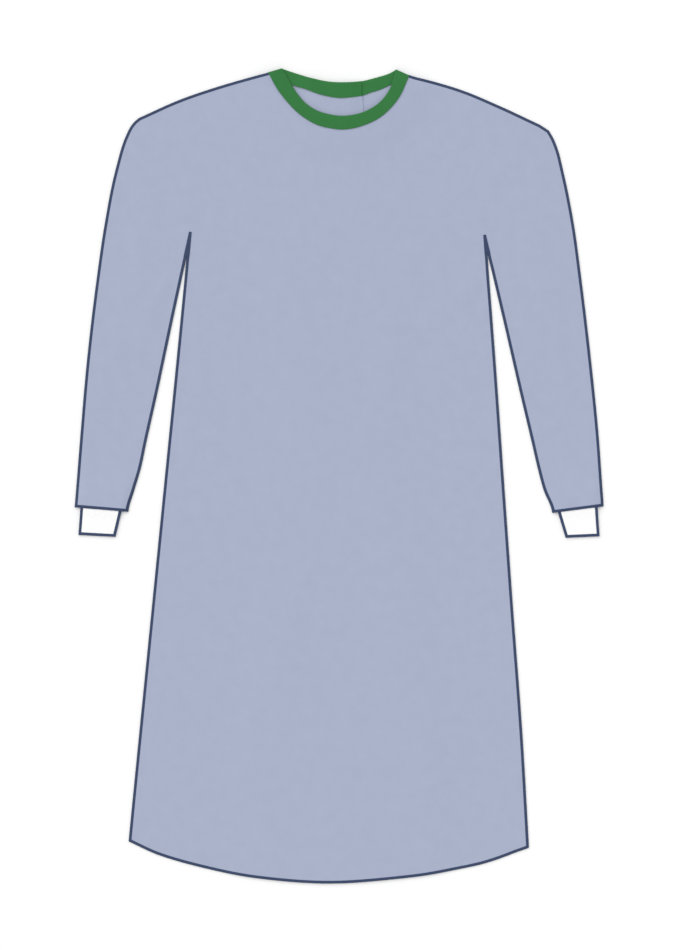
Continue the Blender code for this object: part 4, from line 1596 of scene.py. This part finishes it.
class Gown:
    """The whole gown: panels, cuffs, tapes and the thread round every edge."""

    def __init__(self) -> None:
        """Build the finishes that the pieces share."""
        fibre_mottle_group()
        point_bond_group()
        woven_group()
        self.cloth = NonwovenFinish().build()
        self.navy = ThreadFinish("thread_navy", (0.027, 0.046, 0.106)).build()
        self.pale = ThreadFinish("thread_pale", (0.340, 0.380, 0.510)).build()
        self.green = ThreadFinish("thread_green", (0.030, 0.172, 0.052)).build()
        self.tape = TapeFinish().build()
        self.knit = KnitFinish().build()
        self.tab = TabFinish().build()
        self.panels: dict[str, ClothPanel] = {}
        self.edges: dict[str, list[bpy.types.Object]] = {}

    def make_panels(self) -> None:
        """Build the front, the two backs and the four sleeve pieces."""
        hidden = {"relief_range": (-0.15, 0.3), "pucker": 0.1}
        right = self._drawn(FLANK_RIGHT, NOTCH_RIGHT, UNDERARM_POINT_RIGHT, 0.03, (0.0, 0.0))
        left = self._drawn(FLANK_LEFT, NOTCH_LEFT, UNDERARM_POINT_LEFT, -0.03, (0.0, 0.0))
        flanks = {Side.START: right, Side.END: left}
        joined = {"joined_above": {Side.START: (NOTCH_RIGHT[1] - 0.8) * MM, Side.END: (NOTCH_LEFT[1] - 0.8) * MM}}
        front = ClothPanel(
            "front_panel",
            BODY_CORNERS,
            (280, 165),
            FRONT_CREASES,
            BACKS,
            level=1.0,
            drawn_sides=flanks,
            corner_drop=HEM_CORNER_DROP,
            **joined,
        )
        self._add(front)
        left_back = ClothPanel(
            BACKS[1],
            BODY_CORNERS,
            (240, 100),
            BACK_CREASES,
            ("floor",),
            drawn_sides={Side.END: left},
            lap_side=Side.START,
            corner_drop=HEM_CORNER_DROP,
            **joined,
            **hidden,
        )
        self._add(left_back)
        right_back = ClothPanel(
            BACKS[0],
            BODY_CORNERS,
            (240, 100),
            BACK_CREASES,
            ("floor", BACKS[1]),
            drawn_sides={Side.START: right},
            lapped_on=left_back.skins[Skin.TOP],
            lap_side=Side.END,
            **joined,
            **hidden,
        )
        self._add(right_back)
        sleeves = (
            ("right", RIGHT_SLEEVE_CORNERS, Side.START, Side.END, SLEEVE_CREASES_RIGHT),
            ("left", LEFT_SLEEVE_CORNERS, Side.END, Side.START, SLEEVE_CREASES_LEFT),
        )
        tables = {
            "right": (OVERARM_RIGHT, UNDERARM_RIGHT, NOTCH_RIGHT, UNDERARM_POINT_RIGHT, -0.03, (-0.34, 0.2)),
            "left": (OVERARM_LEFT, UNDERARM_LEFT, NOTCH_LEFT, UNDERARM_POINT_LEFT, 0.03, (0.34, 0.2)),
        }
        for side, corners, outer, inner, creases in sleeves:
            overarm, underarm, notch, point, aside, middle = tables[side]
            shoulder = front.sides[outer.value][-1:]
            drawn = {
                outer: np.vstack((self._moved_table(overarm, middle)[:-1], shoulder)),
                inner: self._drawn(underarm, notch, point, aside, middle),
            }
            back = f"sleeve_back_{side}"
            for node, body, cells, folds, below, plain in (
                (f"sleeve_front_{side}", front, (160, 44), creases, back, {}),
                (back, right_back if side == "right" else left_back, (120, 34), (), "floor", hidden),
            ):
                flank = body.sides[outer.value]
                armhole = stretch_between(flank, np.array(point) * MM + ROW_SHIFT, flank[-1])
                top = moved_aside(armhole, JOIN_GAP, (0.0, 0.45))
                if side == "right":
                    top = top[::-1]
                panel = ClothPanel(node, corners, cells, folds, (below,), joined_top=True, drawn_sides=drawn, **plain)
                panel.joined_above = {inner: (notch[1] - 0.8) * MM}
                panel.joined_line = top
                self._add(panel)

    @staticmethod
    def _moved_table(table: tuple[tuple[float, float], ...], middle: tuple[float, float]) -> np.ndarray:
        """Turn a table of edge centres in millimetres into the cloth's outline.

        Args:
            table: the middle of the thread edge, from the lower end up.
            middle: a point of the piece, which the outline moves away from.

        Returns:
            The outline in metres.
        """
        return moved_aside(np.array(table) * MM, SEAM_ALLOWANCE, middle) + ROW_SHIFT

    def _drawn(
        self,
        table: tuple[tuple[float, float], ...],
        notch: tuple[float, float],
        point: tuple[float, float],
        aside: float,
        middle: tuple[float, float],
    ) -> np.ndarray:
        """Draw a side up to the notch between sleeve and body, and on to the underarm point.

        Args:
            table: the middle of the thread edge, from the lower end up.
            notch: where the sleeve and the body part.
            point: the underarm point.
            aside: how far the joined stretch keeps off the seam's middle, in millimetres.
            middle: a point of the piece, which the outline moves away from.

        Returns:
            The outline in metres.
        """
        off = np.array((aside, 0.0))
        ends = (np.array((notch, point)) + off) * MM + ROW_SHIFT
        return np.vstack((self._moved_table(table, middle), ends))

    def _add(self, panel: ClothPanel) -> None:
        """Build one panel and keep it.

        Args:
            panel: the panel.
        """
        panel.build(self.cloth)
        self.panels[panel.node] = panel
        self.edges[panel.node] = []

    def make_trims(self) -> None:
        """Build the neck's tapes, the tab and the four cuff faces."""
        for node, corners, below, values in (
            ("neck_binding_front", FRONT_BINDING_CORNERS, "front_panel", {"stations": 150, "wider_aside": 1.7 * MM}),
            ("neck_binding_back_right", RIGHT_BINDING_CORNERS, BACKS[0], {"pressed_at": 35.8 * MM}),
            ("neck_binding_back_left", LEFT_BINDING_CORNERS, BACKS[1], {}),
        ):
            NeckBinding(node, corners, (below,), **values).build(self.tape, self.green)
        NeckTab().build(self.tab)
        for side in ("right", "left"):
            faces = {}
            for node, outside, below in (("front", Skin.TOP, f"cuff_back_{side}"), ("back", Skin.UNDER, "floor")):
                faces[node] = RibCuff(f"cuff_{node}_{side}", outside, (below,))
                faces[node].build(self.knit)
            edges = self._cuff_edges(side, faces["front"], faces["back"])
            faces["front"].declare(edges)
            faces["back"].declare([])

    def _edge(self, owner: str, edge: ThreadEdge, finish: bpy.types.Material) -> None:
        """Build one thread edge and note the panel that it goes with.

        Args:
            owner: the panel's node.
            edge: the edge.
            finish: the thread's material.
        """
        self.edges[owner].append(edge.build(finish))

    def make_edges(self) -> None:
        """Wrap thread round the shoulders, arms, sides, hems, sleeve ends and lapped edges."""
        middle = np.array((0.0, -0.1))
        for side, outer, inner, flank_side, apex in (
            ("right", Side.START, Side.END, Side.START, -1),
            ("left", Side.END, Side.START, Side.END, 0),
        ):
            self._arm(side, outer, inner, flank_side, apex)
        for node, lap in (("front_panel", None), (BACKS[0], Side.END), (BACKS[1], Side.START)):
            panel = self.panels[node]
            over, under = panel.skins[Skin.TOP], panel.skins[Skin.UNDER]
            hem = panel.sides[Side.BOTTOM.value]
            trims = (0.6 * MM, 0.6 * MM)
            self._edge(node, ThreadEdge(f"edge_hem_{node}", hem, middle, over, under, trims, lifted=True), self.navy)
            if lap:
                line = panel.sides[lap.value]
                name = f"edge_lap_{node}"
                trims = (4.8 * MM, 23.5 * MM)
                inside = np.array((-0.3 if lap is Side.END else 0.3, 0.0))
                self._edge(node, ThreadEdge(name, line, inside, over, under, trims), self.pale)
        for node, panel in self.panels.items():
            panel.declare(self.edges[node])

    def _arm(self, side: str, outer: Side, inner: Side, flank_side: Side, apex: int) -> None:
        """Wrap one shoulder, one arm and one side of the body.

        Args:
            side: right or left.
            outer: the sleeve's side that carries the overarm seam.
            inner: the sleeve's side that carries the underarm seam.
            flank_side: the front's side that carries the body's side seam.
            apex: which end of the sleeve's top is the underarm point.
        """
        front, back = self.panels["front_panel"], self.panels[f"back_panel_{side}"]
        sleeve, sleeve_back = self.panels[f"sleeve_front_{side}"], self.panels[f"sleeve_back_{side}"]
        body_middle = np.array((0.0, -0.1))
        arm_middle = np.vstack(sleeve.sides).mean(axis=0)
        notch, point = (
            np.array(place) * MM + ROW_SHIFT
            for place in ((NOTCH_RIGHT, UNDERARM_POINT_RIGHT) if side == "right" else (NOTCH_LEFT, UNDERARM_POINT_LEFT))
        )
        shoulder_end = sleeve.sides[Side.TOP.value][0 if apex == -1 else -1]
        top = front.sides[Side.TOP.value]
        same_side = top[:, 0] * shoulder_end[0] > 0
        neck = top[np.argmin(np.where(same_side, np.abs(np.abs(top[:, 0]) - 110.9 * MM), 1.0))]
        body_skins = front.skins[Skin.TOP], back.skins[Skin.UNDER]
        arm_skins = sleeve.skins[Skin.TOP], sleeve_back.skins[Skin.UNDER]
        owner, arm_owner = front.node, sleeve.node
        shoulder = stretch_between(top, shoulder_end, neck)
        edge = ThreadEdge(f"edge_shoulder_{side}", shoulder, body_middle, *body_skins, end_skew=0.5)
        self._edge(owner, edge, self.navy)
        overarm = sleeve.sides[outer.value]
        self._edge(arm_owner, ThreadEdge(f"edge_overarm_{side}", overarm, arm_middle, *arm_skins), self.navy)
        wrist, hem = sleeve.sides[inner.value][0], front.sides[flank_side.value][0]
        under_line = stretch_between(sleeve.sides[inner.value], notch, wrist)
        flank = stretch_between(front.sides[flank_side.value], notch, hem)
        for name, line, middle, skins, node in (
            (f"edge_underarm_{side}", under_line, arm_middle, arm_skins, arm_owner),
            (f"edge_side_{side}", flank, body_middle, body_skins, owner),
        ):
            self._edge(node, ThreadEdge(name, line, middle, *skins, trims=(0.5 * MM, 0.0)), self.navy)
        skins = front.skins[Skin.TOP], sleeve.skins[Skin.TOP]
        past = notch + 1.8 * MM * (notch - point) / np.linalg.norm(notch - point)
        tack = UnderarmTack(f"edge_tack_{side}", np.array((point, past)), skins)
        self.edges[owner].append(tack.build(self.navy))
        skins = back.skins[Skin.UNDER], sleeve_back.skins[Skin.UNDER]
        flat = {"clear": 0.03 * MM, "wall": 0.15 * MM, "ridge": 0.03 * MM}
        tack = UnderarmTack(f"edge_tack_{side}_under", np.array((point, notch)), skins, Skin.UNDER, **flat)
        self.edges[back.node].append(tack.build(self.navy))
        for panel in (sleeve, sleeve_back):
            skins = panel.skins[Skin.TOP], panel.skins[Skin.UNDER]
            end = panel.sides[Side.BOTTOM.value]
            trims = (0.6 * MM, 0.6 * MM)
            name = f"edge_{panel.node}_end"
            lifted = panel is sleeve
            self._edge(panel.node, ThreadEdge(name, end, arm_middle, *skins, trims, lifted=lifted), self.navy)

    def _cuff_edges(self, side: str, front: RibCuff, back: RibCuff) -> list[bpy.types.Object]:
        """Wrap the two sides and the two ends of one cuff.

        Args:
            side: right or left.
            front: the cuff's upper face.
            back: the cuff's lower face.

        Returns:
            The thread edges.
        """
        middle = np.vstack(front.sides).mean(axis=0)
        stack = front.skins[Skin.TOP], back.skins[Skin.UNDER]
        edges = []
        for label in (Side.START, Side.END):
            name = f"edge_cuff_{side}_{label.name.lower()}"
            edges.append(ThreadEdge(name, front.sides[label.value], middle, *stack).build(self.navy))
        for face in (front, back):
            skins = face.skins[Skin.TOP], face.skins[Skin.UNDER]
            name = f"edge_{face.node}_end"
            trims = (0.6 * MM, 0.6 * MM)
            end = face.sides[Side.BOTTOM.value]
            edge = ThreadEdge(name, end, middle, *skins, trims, lifted=face is front)
            edges.append(edge.build(self.navy))
        return edges


def main() -> None:
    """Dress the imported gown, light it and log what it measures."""
    logging.basicConfig(level=logging.INFO, format="%(message)s")
    Studio().build()
    gown = Gown()
    gown.make_panels()
    gown.make_trims()
    gown.make_edges()


if __name__ == "__main__":
    main()
